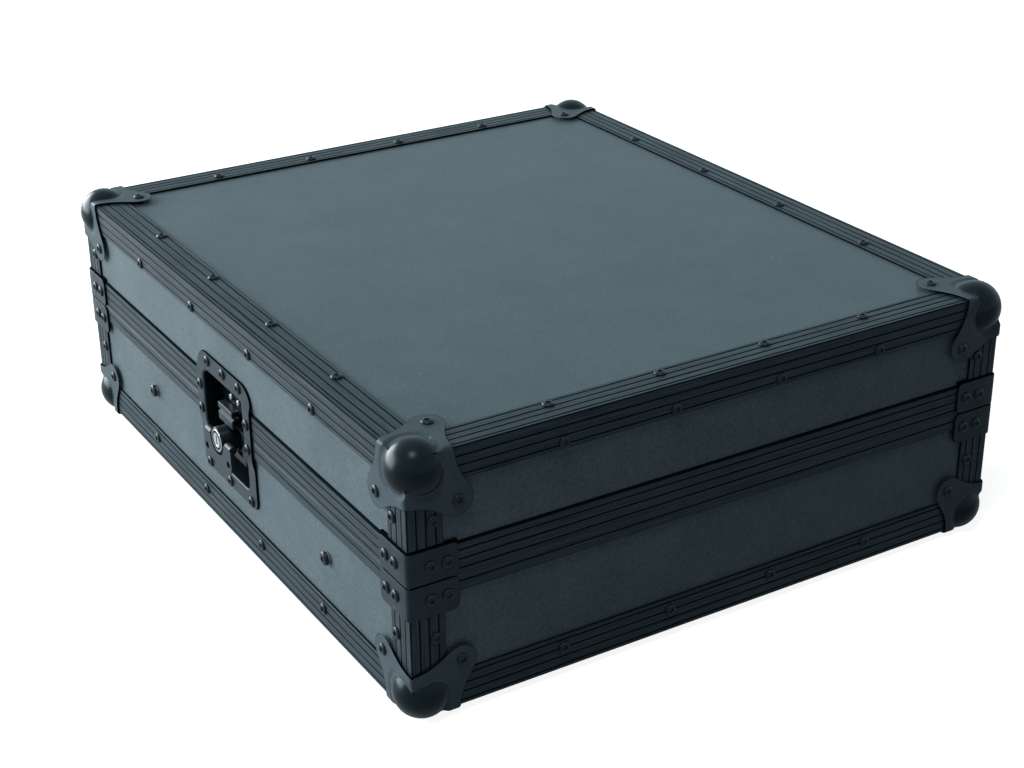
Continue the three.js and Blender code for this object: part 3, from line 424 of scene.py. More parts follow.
def closed_sheet(outer, inner, wrap=False):
    """Joins two grids of the same size, face and back of a sheet, by a wall round their free edges."""
    rows, columns = outer.shape[:2]
    n = rows * columns
    q = quads(rows, columns, wrap)
    index = np.arange(n).reshape(rows, columns)
    rims = [index[-1]] if wrap else [index[0], index[-1], index[:, 0], index[:, -1]]
    walls = []
    for rim in rims:
        a, b = (rim, np.roll(rim, -1)) if wrap else (rim[:-1], rim[1:])
        walls.append(np.stack([a, b, b + n, a + n], 1))
    points = np.concatenate([outer.reshape(-1, 3), inner.reshape(-1, 3)])
    return points, np.concatenate([q, q[:, ::-1] + n, *walls])


def brace_grid(level, inset):
    """A strip bent round the edge: position along it from one free edge to the other, by height. Its four
    corners are arcs, so the height range shrinks towards the free edges as a circle does."""
    bend, corner, bottom = 2.2 * MM, 5 * MM, 0.55 * MM
    flat = [np.linspace(0, corner, 7)[:-1], np.linspace(corner, BRACE_REACH - bend, 4)]
    flat = np.concatenate(flat)
    from_end = np.concatenate([flat, np.full(5, BRACE_REACH), flat[::-1]])
    gap = np.maximum(corner - from_end, 0)
    trim = corner - np.sqrt(np.maximum(corner**2 - gap**2, 0)) + inset
    low, high = bottom + trim, BRACE_HEIGHT - trim
    turn = np.radians(np.linspace(0, 90, 5))
    straight = BRACE_REACH - flat - bend
    r = bend + level
    x = np.concatenate([-level + 0 * flat, bend - r * np.cos(turn), bend + straight[::-1]])
    y = np.concatenate([bend + straight, bend - r * np.sin(turn), -level + 0 * flat])
    share = np.linspace(0, 1, 5)[None, :]
    z = low[:, None] * (1 - share) + high[:, None] * share
    y[0] -= inset
    x[-1] -= inset
    return np.stack(np.broadcast_arrays(x[:, None], y[:, None], z), -1)


CORNERS = (("front_left", -1, -1), ("front_right", 1, -1), ("back_left", -1, 1), ("back_right", 1, 1))
for shell, away, height, band in (
    ("lid", 1, TOP - SPLIT, LID_BAND),
    ("base", -1, SPLIT - STAND, BASE_BAND),
):
    outer, inner = angle_profile(POST, POST_GROOVES, POST, POST_GROOVES)
    for corner, sx, sy in CORNERS:
        origin = np.array([sx * WIDTH / 2, sy * DEPTH / 2, SPLIT])

        def post_ends(reach):
            """From over the closure profile up to the mitre, clear of the ball."""
            return 0 * reach + band + FIT, height - FIT - np.maximum(reach, BALL_CENTRE)

        points, faces, uv = carried(outer, inner, post_ends, -sx * X, -sy * Y, away * Z, origin)
        name = f"{shell}_corner_post_{corner}"
        piece(f"{name}_angle", points, faces, anodised, shell, (name,), uv)
        # Painted shade: the brace's cut edges take a share of 0.7 and its back the whole; its face takes
        # none.
        border = ((1, 1), (1, 1), (0, 0))
        rows = np.pad(brace_grid(SHEET, 0.0), border, mode="edge")
        rows[1:-1, 1:-1] = brace_grid(BRACE_OUT, BRACE_EDGE)
        depth = np.full(rows.shape, 0.7)
        depth[1:-1, 1:-1] = 0
        points, faces = closed_sheet(rows, np.pad(brace_grid(BRACE_BACK, 0.0), border, mode="edge"))
        points = points * np.array([-sx, -sy, away]) + origin
        uv = np.concatenate([depth.reshape(-1, 3), np.ones((depth.size // 3, 3))])
        piece(f"{shell}_brace_{corner}", points, faces, coated, shell, (), uv)
        if shell == "lid":
            # A thin dark sheet along the upper edge of the lid's brace is painted shadow: the shade in the
            # gap above the brace.
            shadow_sheets = [brace_grid(level, 0.4 * MM) for level in (0.35 * MM, -1.9 * MM)]
            for grid in shadow_sheets:
                grid[..., 2] = np.linspace(BRACE_HEIGHT - 1 * MM, BRACE_HEIGHT + 1.3 * MM, 5)
            points, faces = closed_sheet(*shadow_sheets)
            points = points * np.array([-sx, -sy, away]) + origin
            uv = np.ones((len(points), 3))
            piece(f"{shell}_brace_painted_shadow_{corner}", points, faces, coated, shell, (), uv)

# Closure profiles
# The mating pair of extrusions at the parting line. The lid's carries a tongue and the base's a groove, and
# both clamp over the edge of the boards. Each runs round half of the case, from one latch to the other.
LATCH_HALF = 41.3 * MM
WALL = 9 * MM
LIP_OUT = SHEET + FIT + WALL + FIT
LIP_IN = LIP_OUT + SHEET
LIP = 12 * MM


def band_face(height, grooves):
    """The outer face of a closure: height from the parting line by depth, with rounded grooves."""
    along, down = grooved(height, np.array(grooves) * MM)
    along[0] = 0.6 * MM
    return np.stack([down, along], 1)


def closure_sections():
    """Closed outlines of the two profiles, as distance in from the outer face and height."""
    sheet, lip_out, lip_in, lip = np.array([SHEET, LIP_OUT, LIP_IN, LIP]) / MM
    top, low = LID_BAND / MM, -BASE_BAND / MM
    lid = [
        [(0.3, 0.15), (4.7, 0.15), (5, -0.2), (5, -4.6), (5.4, -5), (7.6, -5), (8, -4.6), (8, -0.2)],
        [(8.3, 0.15), (lip_in - 0.3, 0.15), (lip_in, 0.3), (lip_in, lip), (lip_out, lip), (lip_out, 2)],
        [(sheet, 2), (1.75, top), (1.75, top + 1.7), (1.3, top + 1.7), (0.9, top + 0.3), (0.4, top)],
        band_face(LID_BAND, (3.5, 10.8, 17.9))[::-1] / MM,
    ]
    base = [
        band_face(BASE_BAND, (6.4,)) * (1, -1) / MM,
        [(0.3, low), (sheet, low), (sheet, -8), (lip_out, -8), (lip_out, -lip), (lip_in, -lip)],
        [(lip_in, -0.3), (lip_in - 0.3, -0.15), (9, -0.15), (8.6, -0.5), (8.6, -5.6), (4.4, -5.6)],
        [(4.4, -0.5), (4, -0.15), (0.3, -0.15)],
    ]
    return np.concatenate(lid) * MM, np.concatenate(base) * MM


for shell, section in zip(("lid", "base"), closure_sections()):
    count = len(section)
    run = np.concatenate([[0], np.cumsum(np.linalg.norm(np.diff(section, axis=0), axis=1))])
    # Painted shade: points sunk in the grooves of the band's face take a share by their depth.
    on_face = (np.abs(section[:, 1]) > 1 * MM) & (section[:, 0] < 2 * MM)
    sunk = np.minimum(np.where(on_face, section[:, 0] / GROOVE_DEPTH, 0), 1)
    along = np.cumsum([0, 0.264, 0.53, 0.264])
    uv = np.stack(np.broadcast_arrays(along[:, None], run, sunk), -1)
    loop = np.arange(count)
    faces = list(quads(4, count, wrap=True)) + [loop[::-1], loop + 3 * count]
    for side, s in (("front", 1), ("back", -1)):
        # Where it starts, turns and ends: x and y of the outer face, and the ways that lead inwards.
        x, y = WIDTH / 2, DEPTH / 2
        stops = [(-x, -LATCH_HALF, 1, 0), (-x, -y, 1, 1), (x, -y, -1, 1), (x, -LATCH_HALF, -1, 0)]
        stops = np.array(stops)
        x = stops[:, 0, None] + stops[:, 2, None] * section[None, :, 0]
        y = stops[:, 1, None] + stops[:, 3, None] * section[None, :, 0]
        z = np.broadcast_to(SPLIT + section[:, 1], x.shape)
        points = np.stack([s * x, s * y, z], -1)
        name = f"{shell}_closure_{side}"
        piece(f"{name}_profile", points, faces, anodised, shell, (name,), uv)

# Ball corners
# Pressed steel: a ball stands over the vertex, flares into three leaves, and each leaf ends in a round lobe
# with one rivet. The sheet is one skin, so it is drawn as spokes that run from the vertex out to its edge.
BALL = 20.8 * MM
PROUD = 1.8
LEAF = BALL_CENTRE + PROUD * MM
RING, RING_ROOT = 25.2 * MM, 19.6 * MM
half_edge = [(37.2, -1.8), (37.5, 5), (38.8, 12), (41.5, 19), (45.5, 25.5), (49, 30.5), (51, 35.5)]
half_edge = np.array([*half_edge, (51.2, 39.5), (49.8, 44), (47.4, 47.4)])
edge_line = np.concatenate([half_edge, half_edge[::-1, ::-1][1:]]) * MM + PROUD * MM
edge_angle = np.arctan2(edge_line[:, 1], edge_line[:, 0])
edge_reach = np.hypot(edge_line[:, 0], edge_line[:, 1])
turn = np.radians(np.linspace(0, 90, 31)[:-1])
spoke_reach = np.interp(turn, edge_angle, edge_reach)
off_axis = np.sqrt(1 - (np.cos(turn) + np.sin(turn)) ** 2 / 3)


def face_centres(made):
    """The middle of each face of a piece."""
    middle = np.zeros(len(made.data.polygons) * 3)
    made.data.polygons.foreach_get("center", middle)
    return middle.reshape(-1, 3)


def ball_skin(far, depth, lowest):
    """Points of the skin at a depth under its face, on spokes that run over each leaf from the vertex.
    A leaf point gives a direction from the ball's centre. The skin lies on the ball, out = R, near the
    vertex and on the leaf beyond the ring, out = distance to the leaf: a smooth step joins them by how far
    the leaf point is off the corner's diagonal, and a power mean rounds the ridges between leaves."""
    a = far * np.cos(turn) / LEAF - 1
    b = far * np.sin(turn) / LEAF - 1
    size = np.sqrt(a**2 + b**2 + 1)
    power = (np.maximum(-a, 0) ** 12 + np.maximum(-b, 0) ** 12 + 1) ** (1 / 12)
    step = np.clip((far * off_axis - RING_ROOT) / (RING - RING_ROOT), 0, 1)
    step = step**2 * (3 - 2 * step)
    ball = BALL - depth
    leaf = (LEAF - depth) * size / power
    leaf = ball * 0.97 * (1 - step) + leaf * step
    blend = 2.5 * MM
    near = np.maximum(blend - np.abs(ball - leaf), 0) / blend
    out = np.maximum(ball, leaf) + near**2 * blend / 4
    spoke = np.stack([a, b, -np.ones_like(a)], -1) * (out / size)[..., None]
    ring = np.concatenate([spoke, spoke[..., [2, 0, 1]], spoke[..., [1, 2, 0]]], 1)
    ring = ring + BALL_CENTRE
    ring[..., 2] = np.maximum(ring[..., 2], lowest)
    return ring


inside = np.concatenate([np.linspace(0, 17.5, 9), np.linspace(18.5, 27, 18)]) * MM
inside = inside[:, None] / off_axis
beyond = np.linspace(0, 1, 9)[1:, None] * (spoke_reach - 1 * MM - inside[-1]) + inside[-1]
far = np.concatenate([inside, beyond, spoke_reach[None] - 0.4 * MM])
brim = spoke_reach[None]
for shell, away, level in (("lid", 1, TOP), ("base", -1, STAND)):
    lowest = -STAND if shell == "base" else -1
    face = np.concatenate([ball_skin(far, 0.0, lowest), ball_skin(brim, 0.4 * MM, lowest)])
    back = np.concatenate([ball_skin(far, SHEET, -1), ball_skin(brim, SHEET, -1)])
    points, faces = closed_sheet(face, back, wrap=True)
    # Painted shade: the leaf's edge and the row just inside it are dark, an outline round the leaf, and the
    # back too.
    shade = np.ones((2, *face.shape))
    shade[0, :-2] = 0
    for corner, sx, sy in CORNERS:
        name = f"{shell}_ball_corner_{corner}"
        inwards = np.array([-sx, -sy, -away])
        vertex = np.array([sx * WIDTH / 2, sy * DEPTH / 2, level])
        spot = points * inwards + vertex
        made = piece(f"{name}_steel", spot, faces, dull_coated, shell, (name,), shade)
        made.data.materials.append(dark_ball_coat)
        # The blend lifts the ball's face by up to 0.4 mm, and what lies further out is leaf.
        rise = np.linalg.norm(face_centres(made) - vertex - inwards * BALL_CENTRE, axis=1) - BALL
        on_ball = (rise > 0) & (rise < 0.45 * MM)
        # Faces on the ball take the second material, the darker tone of painted shade.
        made.data.polygons.foreach_set("material_index", on_ball.astype(np.int32))

# Latch dishes
# Two pressed steel trays in each side wall, one in the lid and one in the base, which meet at the parting
# line. The flange lies over the closure profile and steps down to the board beyond it.
DISH = 12.2 * MM


def on_wall(points, side):
    """From a wall's own frame, along it, up from the parting line and out of it, to the case's frame."""
    u, v, w = points[..., 0], points[..., 1], points[..., 2]
    s = -1 if side == "left" else 1
    return np.stack([s * (WIDTH / 2 + w), s * u, SPLIT + v], -1)


def wall_piece(name, kind, made, material, body, uv=None):
    """Sets points and faces in the wall that a name ends with. The piece stands for the node of that name."""
    points = on_wall(made[0], name.split("_")[-1])
    return piece(f"{name}_{kind}", points, made[1], material, body, (name,), uv)


def tray_line(half, reach, radius):
    """A U-shaped line from the parting line up one side, round two corners and down the other side."""
    radius = max(radius, 0.01 * MM)
    turn = np.radians(np.linspace(0, 90, 9))
    side = np.linspace(0.15 * MM, max(reach - radius, 0.15 * MM), 14)
    right = np.stack([0 * side + half, side], 1)
    bend = np.stack([half - radius + radius * np.cos(turn), reach - radius + radius * np.sin(turn)], 1)
    top = np.stack([np.linspace(half - radius, 0, 8), np.full(8, reach)], 1)
    line = np.concatenate([right[:-1], bend[:-1], top])
    return np.concatenate([line, line[::-1][1:] * (-1, 1)])


# Each ring of the tray's face and back: how far it lies out from the opening, its level, and the share that
# it takes of the flange's rise over the closure profile.
FLOOR = -DISH / MM
FACE_RINGS = [(3.5, 0, 1), (2.8, 0, 1), (1.7, -0.1, 1), (0.8, -0.5, 1), (0.2, -1.2, 1), (0.0, -2.4, 1)]
FACE_RINGS += [(-1.4, FLOOR + 2.6, 0), (-1.9, FLOOR + 1.1, 0), (-2.9, FLOOR + 0.25, 0), (-4.2, FLOOR, 0)]
BACK_RINGS = [(4.6, -1.5, 1), (4.0, -1.5, 1), (3.2, -1.6, 1), (2.3, -2.0, 1), (1.7, -2.7, 1), (1.5, -3.6, 1)]
BACK_RINGS += [(0.1, FLOOR + 1, 0), (-0.6, FLOOR - 0.6, 0), (-2.0, FLOOR - 1.4, 0), (-4.2, FLOOR - 1.5, 0)]


def tray(reach, recess, corner, step_from, step_to):
    """The tray's face and back as rings: flange edge, flange, rolled rim, drafted wall, round root, floor."""
    half, inner_corner, flange_half = 37.5 * MM, 6 * MM, 52 * MM

    def ring(grow, width, height, radius, level, flange):
        """One ring. Its part over the closure profile is raised, with a smooth step down beyond it."""
        line = tray_line(width + grow, height + grow, radius + grow)
        fall = np.clip((line[:, 1] - step_from) / (step_to - step_from), 0, 1)
        raised = PROUD * MM * (1 - fall**2 * (3 - 2 * fall))
        return np.concatenate([line, (raised * flange + level)[:, None]], 1)

    sides = []
    for edge, rows in (((-0.45, 0, 0), FACE_RINGS), ((-1.5, -1.5, -1.5), BACK_RINGS)):
        rings = [
            ring(grow * MM, flange_half, reach, corner, level * MM, 1)
            for grow, level in zip((0, -0.45, -0.9), edge)
        ]
        rings += [ring(g * MM, half, recess, inner_corner, level * MM, f) for g, level, f in rows]
        last = rings[-1]
        for k in (0.66, 0.33, 0.0):
            line = last * (k, k, 1)
            line[:, 1] = np.maximum(line[:, 1], 0.15 * MM)
            rings.append(line)
        sides.append(np.array(rings))
    return sides


# How much painted shade each ring of the tray takes: dark at the flange's cut edge, none over the bright
# flange, and deepening down the wall to the floor of the recess.
SHADE = (1.0, 0.3, 0, 0, 0, 0.02, 0.1, 0.3, 0.7, 0.86, 0.9, 0.9, 0.9, 0.9, 0.9, 0.9)
# The sizes are each tray's reach, recess and corner, and where its step starts and ends, in millimetres.
for shell, away, sizes in (("lid", 1, (44.5, 28.5, 17, 24, 33)), ("base", -1, (62, 49, 8, 16, 28))):
    face, back = tray(*(np.array(sizes) * MM))
    made = closed_sheet(face * (1, away, 1), back * (1, away, 1))
    shade = np.broadcast_to(np.array(SHADE)[:, None, None], face.shape).reshape(-1, 3)
    shade = np.concatenate([shade, np.ones_like(shade)])
    for side in ("left", "right"):
        wall_piece(f"{shell}_latch_dish_{side}", "tray", made, coated, shell, shade)

# Blind rivets
# Black blind rivets hold every angle, corner, brace, dish and the handle. The head is a flat dome with the
# broken stem showing dark in its middle.
HEAD = [(3.9, -0.3), (3.9, 0.2), (4.6, 0.3), (4.7, 0.6), (4.35, 1.15), (3.4, 1.7), (2.5, 1.95), (2.0, 1.8)]
HEAD = np.array([*HEAD, (1.8, 0.4), (0, 0.4)]) * MM
STEM_RADIUS, STEM_LOW, STEM_HIGH = 1.95 * MM, 0.2 * MM, 1.7 * MM
HANDLE_LEVEL = 67


def clouded(name, start, size, detail, dark, pale, dullness=None):
    """A finish whose tone drifts in clouds of a size, and its roughness with it where two are given."""
    made, tree, shader = finish(name, *start)
    noise, tone = clouds(tree, shader, size, detail, dark, pale, dullness)
    tree.links.new(tone, shader.inputs["Base Color"])
    return made, tree, shader, noise


# Black coated rivet: aluminium with a stoved coat, so it is glossier than the angles round it.
start = ("#181d20", 0.28, 0.0, 1.32, "#c2deef")
rivet_coat = clouded("stoved_rivet_coat", start, 3 * MM, 4.0, "#121618", "#20272c")[0]
# Steel stem, broken off inside the head: rough and dark.
stem = clouded("broken_steel_stem", ("#1d2529", 0.6, 0.6), 0.8 * MM, 2.0, "#151a1d", "#303a40")[0]


def spread(count, pitch):
    """Places evenly spaced about the middle."""
    return (np.arange(count) - (count - 1) / 2) * pitch


def rivet_places(shell):
    """Every rivet of one shell in millimetres: its place and the way that it faces."""
    lid = shell == "lid"
    away = 1 if lid else -1
    half_x, half_y = WIDTH / 2 / MM, DEPTH / 2 / MM
    level = (TOP if lid else STAND) / MM
    height = abs(level - SPLIT / MM)
    flat_row, wall_row = (21, 20) if lid else (21, 18)
    post_row, post_level, brace_level, lobe = 20, 46 if lid else 45.5, 13, 39
    column, across, top = (13, 30.5, 38) if lid else (8.5, 41, 57)
    up = (0, 0, away)
    found = []

    def put(x, y, inwards, way):
        """Adds a rivet that lies so far in from the level of the shell's outer face."""
        found.append(((x, y, level - away * inwards), way))

    for s in (-1, 1):
        for x in spread(4, 94):
            put(x, s * (half_y - flat_row), 0, up)
            put(x, s * half_y, wall_row, (0, s, 0))
        for y in spread(4, 110.7):
            put(s * (half_x - flat_row), y, 0, up)
            put(s * half_x, y, wall_row, (s, 0, 0))
    for _, sx, sy in CORNERS:
        x, y = sx * half_x, sy * half_y
        put(x - sx * lobe, y - sy * lobe, -PROUD, up)
        put(x + sx * PROUD, y - sy * lobe, lobe, (sx, 0, 0))
        put(x - sx * lobe, y + sy * PROUD, lobe, (0, sy, 0))
        put(x, y - sy * post_row, height - post_level, (sx, 0, 0))
        put(x - sx * post_row, y, height - post_level, (0, sy, 0))
        for row in (16, 29.4):
            put(x + sx * PROUD, y - sy * row, height - brace_level, (sx, 0, 0))
            put(x - sx * row, y + sy * PROUD, height - brace_level, (0, sy, 0))
    for s in (-1, 1):
        for u in (-45, 45):
            put(s * (half_x + PROUD), u, height - column, (s, 0, 0))
        for u in (-across, 0, across):
            put(s * half_x, u, height - top, (s, 0, 0))
    if not lid:
        for u in (-77, 77):
            for v in (-20, 20):
                put(u, half_y + 0.5, HANDLE_LEVEL + v - level, (0, 1, 0))
    return np.array(found)


def turned(profile, places, ways, sides):
    """Turned heads: a profile of radius and height, swept round each way from each place."""
    ways = ways / np.linalg.norm(ways, axis=1, keepdims=True)
    helper = np.where(np.abs(ways[:, 2:]) > 0.9, X, Z)
    a = np.cross(helper, ways)
    a = a / np.linalg.norm(a, axis=1, keepdims=True)
    b = np.cross(ways, a)
    turn = np.arange(sides) * 2 * np.pi / sides
    rim = a[:, None] * np.cos(turn)[None, :, None] + b[:, None] * np.sin(turn)[None, :, None]
    points = places[:, None, None] + profile[:, None, :1] * rim[:, None]
    points = points + profile[:, None, 1:] * ways[:, None, None]
    one = quads(len(profile), sides, wrap=True)
    shift = np.arange(len(places))[:, None, None] * len(profile) * sides
    return points, (one[None] + shift).reshape(-1, 4)


for shell in ("lid", "base"):
    found = rivet_places(shell)
    places, ways = found[:, 0] * MM, found[:, 1]
    points, faces = turned(HEAD, places, ways, 14)
    heads = piece(f"{shell}_rivets", points, faces, rivet_coat, shell, sharp=50)
    heads.data.materials.append(stem)
    middle = face_centres(heads)
    nearest = np.linalg.norm(middle[:, None] - places[None], axis=2).argmin(1)
    gap = middle - places[nearest]
    out = (gap * ways[nearest]).sum(1)
    radius = np.sqrt(np.maximum((gap**2).sum(1) - out**2, 0))
    hollow = (radius < STEM_RADIUS) & (out < STEM_HIGH) & (out > STEM_LOW)
    heads.data.polygons.foreach_set("material_index", hollow.astype(np.int32))

# Latch works
# The twist latch: a disc on a stud turns an eccentric, which lifts the hook over its keeper. The key plug
# sits in the barrel, and a finger flap folds out on a cross pin to turn it. All sizes are in millimetres.
AXIS = (0, -17.5)
PIN_LEVEL = 6

# Bright chrome: polished and plated, so it mirrors, a little duller in clouds where keys have rubbed it.
start = ("#d4d8da", 0.16, 1.0)
chrome = clouded("bright_chrome", start, 2 * MM, 5.0, "#c3c9cc", "#e4e7e8", (0.1, 0.26))[0]
# Blacked steel: dipped hot and oiled, so it is nearly black and a little uneven, with a low sheen. On the
# works deep in the latch's recess its near-black is partly painted shade.
start = ("#13191c", 0.36, 0.0, 1.18)
blacked_and_shaded = clouded("blacked_steel_and_painted_shade", start, 5 * MM, 5.0, "#0d1012", "#1c242a", (0.26, 0.48))[0]
# Zinc-plated steel: dipped and passivated, with a dull, slightly cloudy grey.
start = ("#8a9296", 0.42, 1.0)
zinc = clouded("zinc_plated_steel", start, 7 * MM, 6.0, "#767f84", "#9aa2a6", (0.34, 0.52))[0]


def bevelled(made, width, segments=2, angle=30):
    """Rounds the edges of a piece that are sharper than an angle."""
    bevel = made.modifiers.new("rounded_edges", "BEVEL")
    bevel.width = width
    bevel.segments = segments
    bevel.limit_method = "ANGLE"
    bevel.angle_limit = math.radians(angle)
    bevel.harden_normals = True


def slab(outline, low, high):
    """An outline in a plane given thickness: the same loop at two levels, with a face at each."""
    outline = np.asarray(outline, float)
    n = len(outline)
    points = np.concatenate([np.c_[outline, np.full(n, low)], np.c_[outline, np.full(n, high)]])
    loop = np.arange(n)
    return points, [*quads(2, n, wrap=True), loop[::-1], loop + n]


def arc(x, y, radius, start, end, steps):
    """Points of a circle from one angle to another, in degrees."""
    turn = np.radians(np.linspace(start, end, steps))
    return np.stack([x + radius * np.cos(turn), y + radius * np.sin(turn)], 1)


def holed(outline, holes, low, high):
    """A plate with holes: triangles fill it between the outline and the holes, at each of two levels."""
    work = bmesh.new()
    edges = []
    for line in (outline, *holes):
        ring = [work.verts.new((x, y, high * MM)) for x, y in np.array(line) * MM]
        edges += [work.edges.new((ring[i], ring[(i + 1) % len(ring)])) for i in range(len(ring))]
    bmesh.ops.triangle_fill(work, use_beauty=True, edges=edges)
    flat = bmesh.ops.extrude_face_region(work, geom=work.faces[:])
    moved = [v for v in flat["geom"] if isinstance(v, bmesh.types.BMVert)]
    bmesh.ops.translate(work, verts=moved, vec=(0, 0, (low - high) * MM))
    work.verts.index_update()
    points = np.array([v.co[:] for v in work.verts])
    faces = [[v.index for v in f.verts] for f in work.faces]
    work.free()
    return points, faces


def folded(outline, start, end):
    """A strip folded along a line of height and outward level, from one place along the wall to another."""
    points, faces = slab(np.array(outline) * MM, start * MM, end * MM)
    return points[:, [2, 0, 1]], faces


def merged(*meshes):
    """Several sets of points and faces as one."""
    points, faces, start = [], [], 0
    for p, f in meshes:
        p = np.reshape(p, (-1, 3))
        points.append(p)
        faces += [[int(i) + start for i in face] for face in f]
        start += len(p)
    return np.concatenate(points), faces


def round_bar(profile, centre, way=(0, 0, 1), sides=40):
    """A turned solid: a profile of radius and height about one axis."""
    profile = np.array(profile, float) * MM
    return turned(profile, np.array([centre], float) * MM, np.array([way], float), sides)


def knuckle(a, b):
    """A tube on the cross pin from a to b, with bevelled ends."""
    profile = [(2.3, a), (3.2, a), (3.5, a + 0.3), (3.5, b - 0.3), (3.2, b), (2.3, b), (2.3, a)]
    return round_bar(profile, (*AXIS, PIN_LEVEL), (1, 0, 0), 24)


def flap_plate():
    """The finger flap: half round ends below, a round notch for the barrel and two holes."""
    y = AXIS[1]
    outline = [[(27, y + 0.3)], arc(0, y, 12.6, 0, -180, 17), [(-27, y + 0.3)]]
    outline += [arc(-20, y - 14, 7, 180, 270, 8), arc(20, y - 14, 7, 270, 360, 8)]
    return holed(np.concatenate(outline), [arc(u, y - 13, 3, 0, 345, 24) for u in (-21, 21)], 7.5, 9.5)


DISC = [(0, -11.8), (15.6, -11.8), (16.4, -11.2), (16.4, -9.5), (15.8, -8.8), (0, -8.8)]
BARREL = [(11, -6), (11, 8.4), (10.7, 9), (10.3, 9.3), (9.9, 9.3), (9.7, 9), (9.7, 6.3), (0, 6.3)]
PIN = [(0, -25.5), (1.7, -25.5), (2, -25.1), (2, 25.1), (1.7, 25.5), (0, 25.5)]
KEY_SLOT = [(-1.1, -22), (1.1, -22), (1.1, -13), (-1.1, -13)]
KEY_GAP_SHADE = [(6.3, 9.5), (6.3, 9.66), (8.3, 9.66), (8.3, 9.5), (6.3, 9.5)]
HOOK = [(-11.25, -8.5), (-11.25, -6.3), (-5.5, -6.3), (-5.5, 0.5), (2, 0.5), (2, -1), (4.7, -1), (4.7, 0.5)]
HOOK += [(9.8, 0.5), (9.8, -6.6), (7.6, -6.6), (7.6, -1.7), (-3.3, -1.7), (-3.3, -8.5)]
YOKE = [(-20, -37.7), (20, -37.7), (20, -8.3), (-20, -8.3)]
YOKE_HOLE = [(-13.4, -31.75), (13.4, -31.75), (13.4, -11.25), (-13.4, -11.25)]
LEDGE = [(5.1, -11.9), (23.1, -11.9), (23.1, -10.4), (7.1, -10.4), (7.1, -2.2), (5.1, -2.2)]
KEEPER_STUD = [(0, -10.6), (2.6, -10.6), (2.6, -8.4), (2.1, -7.8), (0, -7.6)]
for side in ("left", "right"):
    axis = (*AXIS, 0)
    disc = round_bar(DISC, axis)
    cam = round_bar([(9, -9), (9, -5.7), (0, -5.7)], (0, AXIS[1] - 4, 0))
    barrel = round_bar(BARREL, axis)
    pin = round_bar(PIN, (*AXIS, PIN_LEVEL), (1, 0, 0), 20)
    stud = round_bar([(0, -15.5), (8, -15.5), (8, -14), (5, -14), (5, -11)], axis, sides=24)
    made = merged(disc, cam, barrel, pin, stud)
    # The rotor's near-black is partly painted shade in the recess.
    wall_piece(f"latch_rotor_{side}", "steel", made, blacked_and_shaded, f"{side}_rotor")

    made = holed(arc(*AXIS, 9.4, 0, 350, 36), [KEY_SLOT], 6.6, 9.55)
    plug = wall_piece(f"key_plug_{side}", "chrome", made, chrome, f"{side}_plug")
    bevelled(plug, 0.35 * MM, 3)
    # A thin dark ring on the plug's face is painted shade of the gap round the plug.
    keyway = round_bar([(0, 6.35), (8.4, 6.35), (8.4, 6.9), (0, 6.9)], axis, sides=24)
    points, faces = merged(keyway, round_bar(KEY_GAP_SHADE, axis, sides=36))
    piece(f"keyway_{side}", on_wall(points, side), faces, blacked_and_shaded, f"{side}_plug")

    made = merged(flap_plate(), knuckle(-25, -14), knuckle(14, 25))
    flap = wall_piece(f"latch_flap_{side}", "steel", made, coated, f"{side}_flap")
    bevelled(flap, 0.3 * MM)

    made = merged(folded(HOOK, -13.5, 13.5), holed(YOKE, [YOKE_HOLE], -8.5, -6.3))
    hook = wall_piece(f"latch_hook_{side}", "steel", made, coated, f"{side}_hook")
    bevelled(hook, 0.6 * MM, 3)

    # The keeper ledge is zinc-plated like its studs; it is drawn in blacked steel as painted shade in the
    # recess.
    ledge = wall_piece(f"keeper_{side}", "steel", folded(LEDGE, -13, 13), blacked_and_shaded, "lid")
    bevelled(ledge, 0.4 * MM)
    points, faces = merged(*(round_bar(KEEPER_STUD, (u, 13.3, 0), sides=20) for u in (-7, 7)))
    piece(f"keeper_{side}_studs", on_wall(points, side), faces, zinc, "lid")

# Rack rails
# Folded zinc-plated steel angles with square holes for cage nuts. The CAD rails have the right shape, and
# each is held by two pan head screws through the wall, whose heads show outside.
PAN = [(5.6, -0.2), (5.6, 1), (5.1, 2.1), (4, 2.8), (2.3, 2.95), (1.9, 2.9), (1.7, 1.2), (0, 1.2)]
SCREW_LEVEL, SCREWS_ALONG = 72 * MM, (174.4 * MM, -162.5 * MM)
for side, s in (("left", -1), ("right", 1)):
    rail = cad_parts[f"rack_rail_{side}"]
    rail.data.materials.clear()
    rail.data.materials.append(zinc)
    places = np.array([(s * WIDTH / 2, s * u, SCREW_LEVEL) for u in SCREWS_ALONG])
    points, faces = turned(np.array(PAN) * MM, places, np.array([(s, 0, 0)] * 2, float), 24)
    piece(f"rail_screws_{side}", points, faces, rivet_coat, "base", sharp=50)

# Handle
# A steel plate with two ears carries a bent steel bow, which folds flat against the back. A moulded grip with
# shallow finger ribs sits on the bow. All sizes are in millimetres.
PIVOT, GRIP = 20.01, -17.98
BOW_LEVEL, BOW_RADIUS = 7, 3.5
GRIP_HALF, RIB_PITCH = 42, 19.5
plate_corners = ((78, 21, 0), (-78, 21, 90), (-78, -21, 180), (78, -21, 270))
plate_line = [arc(x, y, 8, start, start + 90, 8) for x, y, start in plate_corners]
plate = slab(np.concatenate(plate_line) * MM, -1.5 * MM, 0.5 * MM)
ear_line = np.concatenate([[(14, 0.2)], arc(20, 5.5, 6, 180, 0, 17), [(26, 0.2)]])


def on_back(points):
    """From the back wall's own frame, along it, up from the plate's middle and out, to the case's frame."""
    u, v, w = points[..., 0], points[..., 1], points[..., 2]
    return np.stack([-u, DEPTH / 2 + w, HANDLE_LEVEL * MM + v], -1)


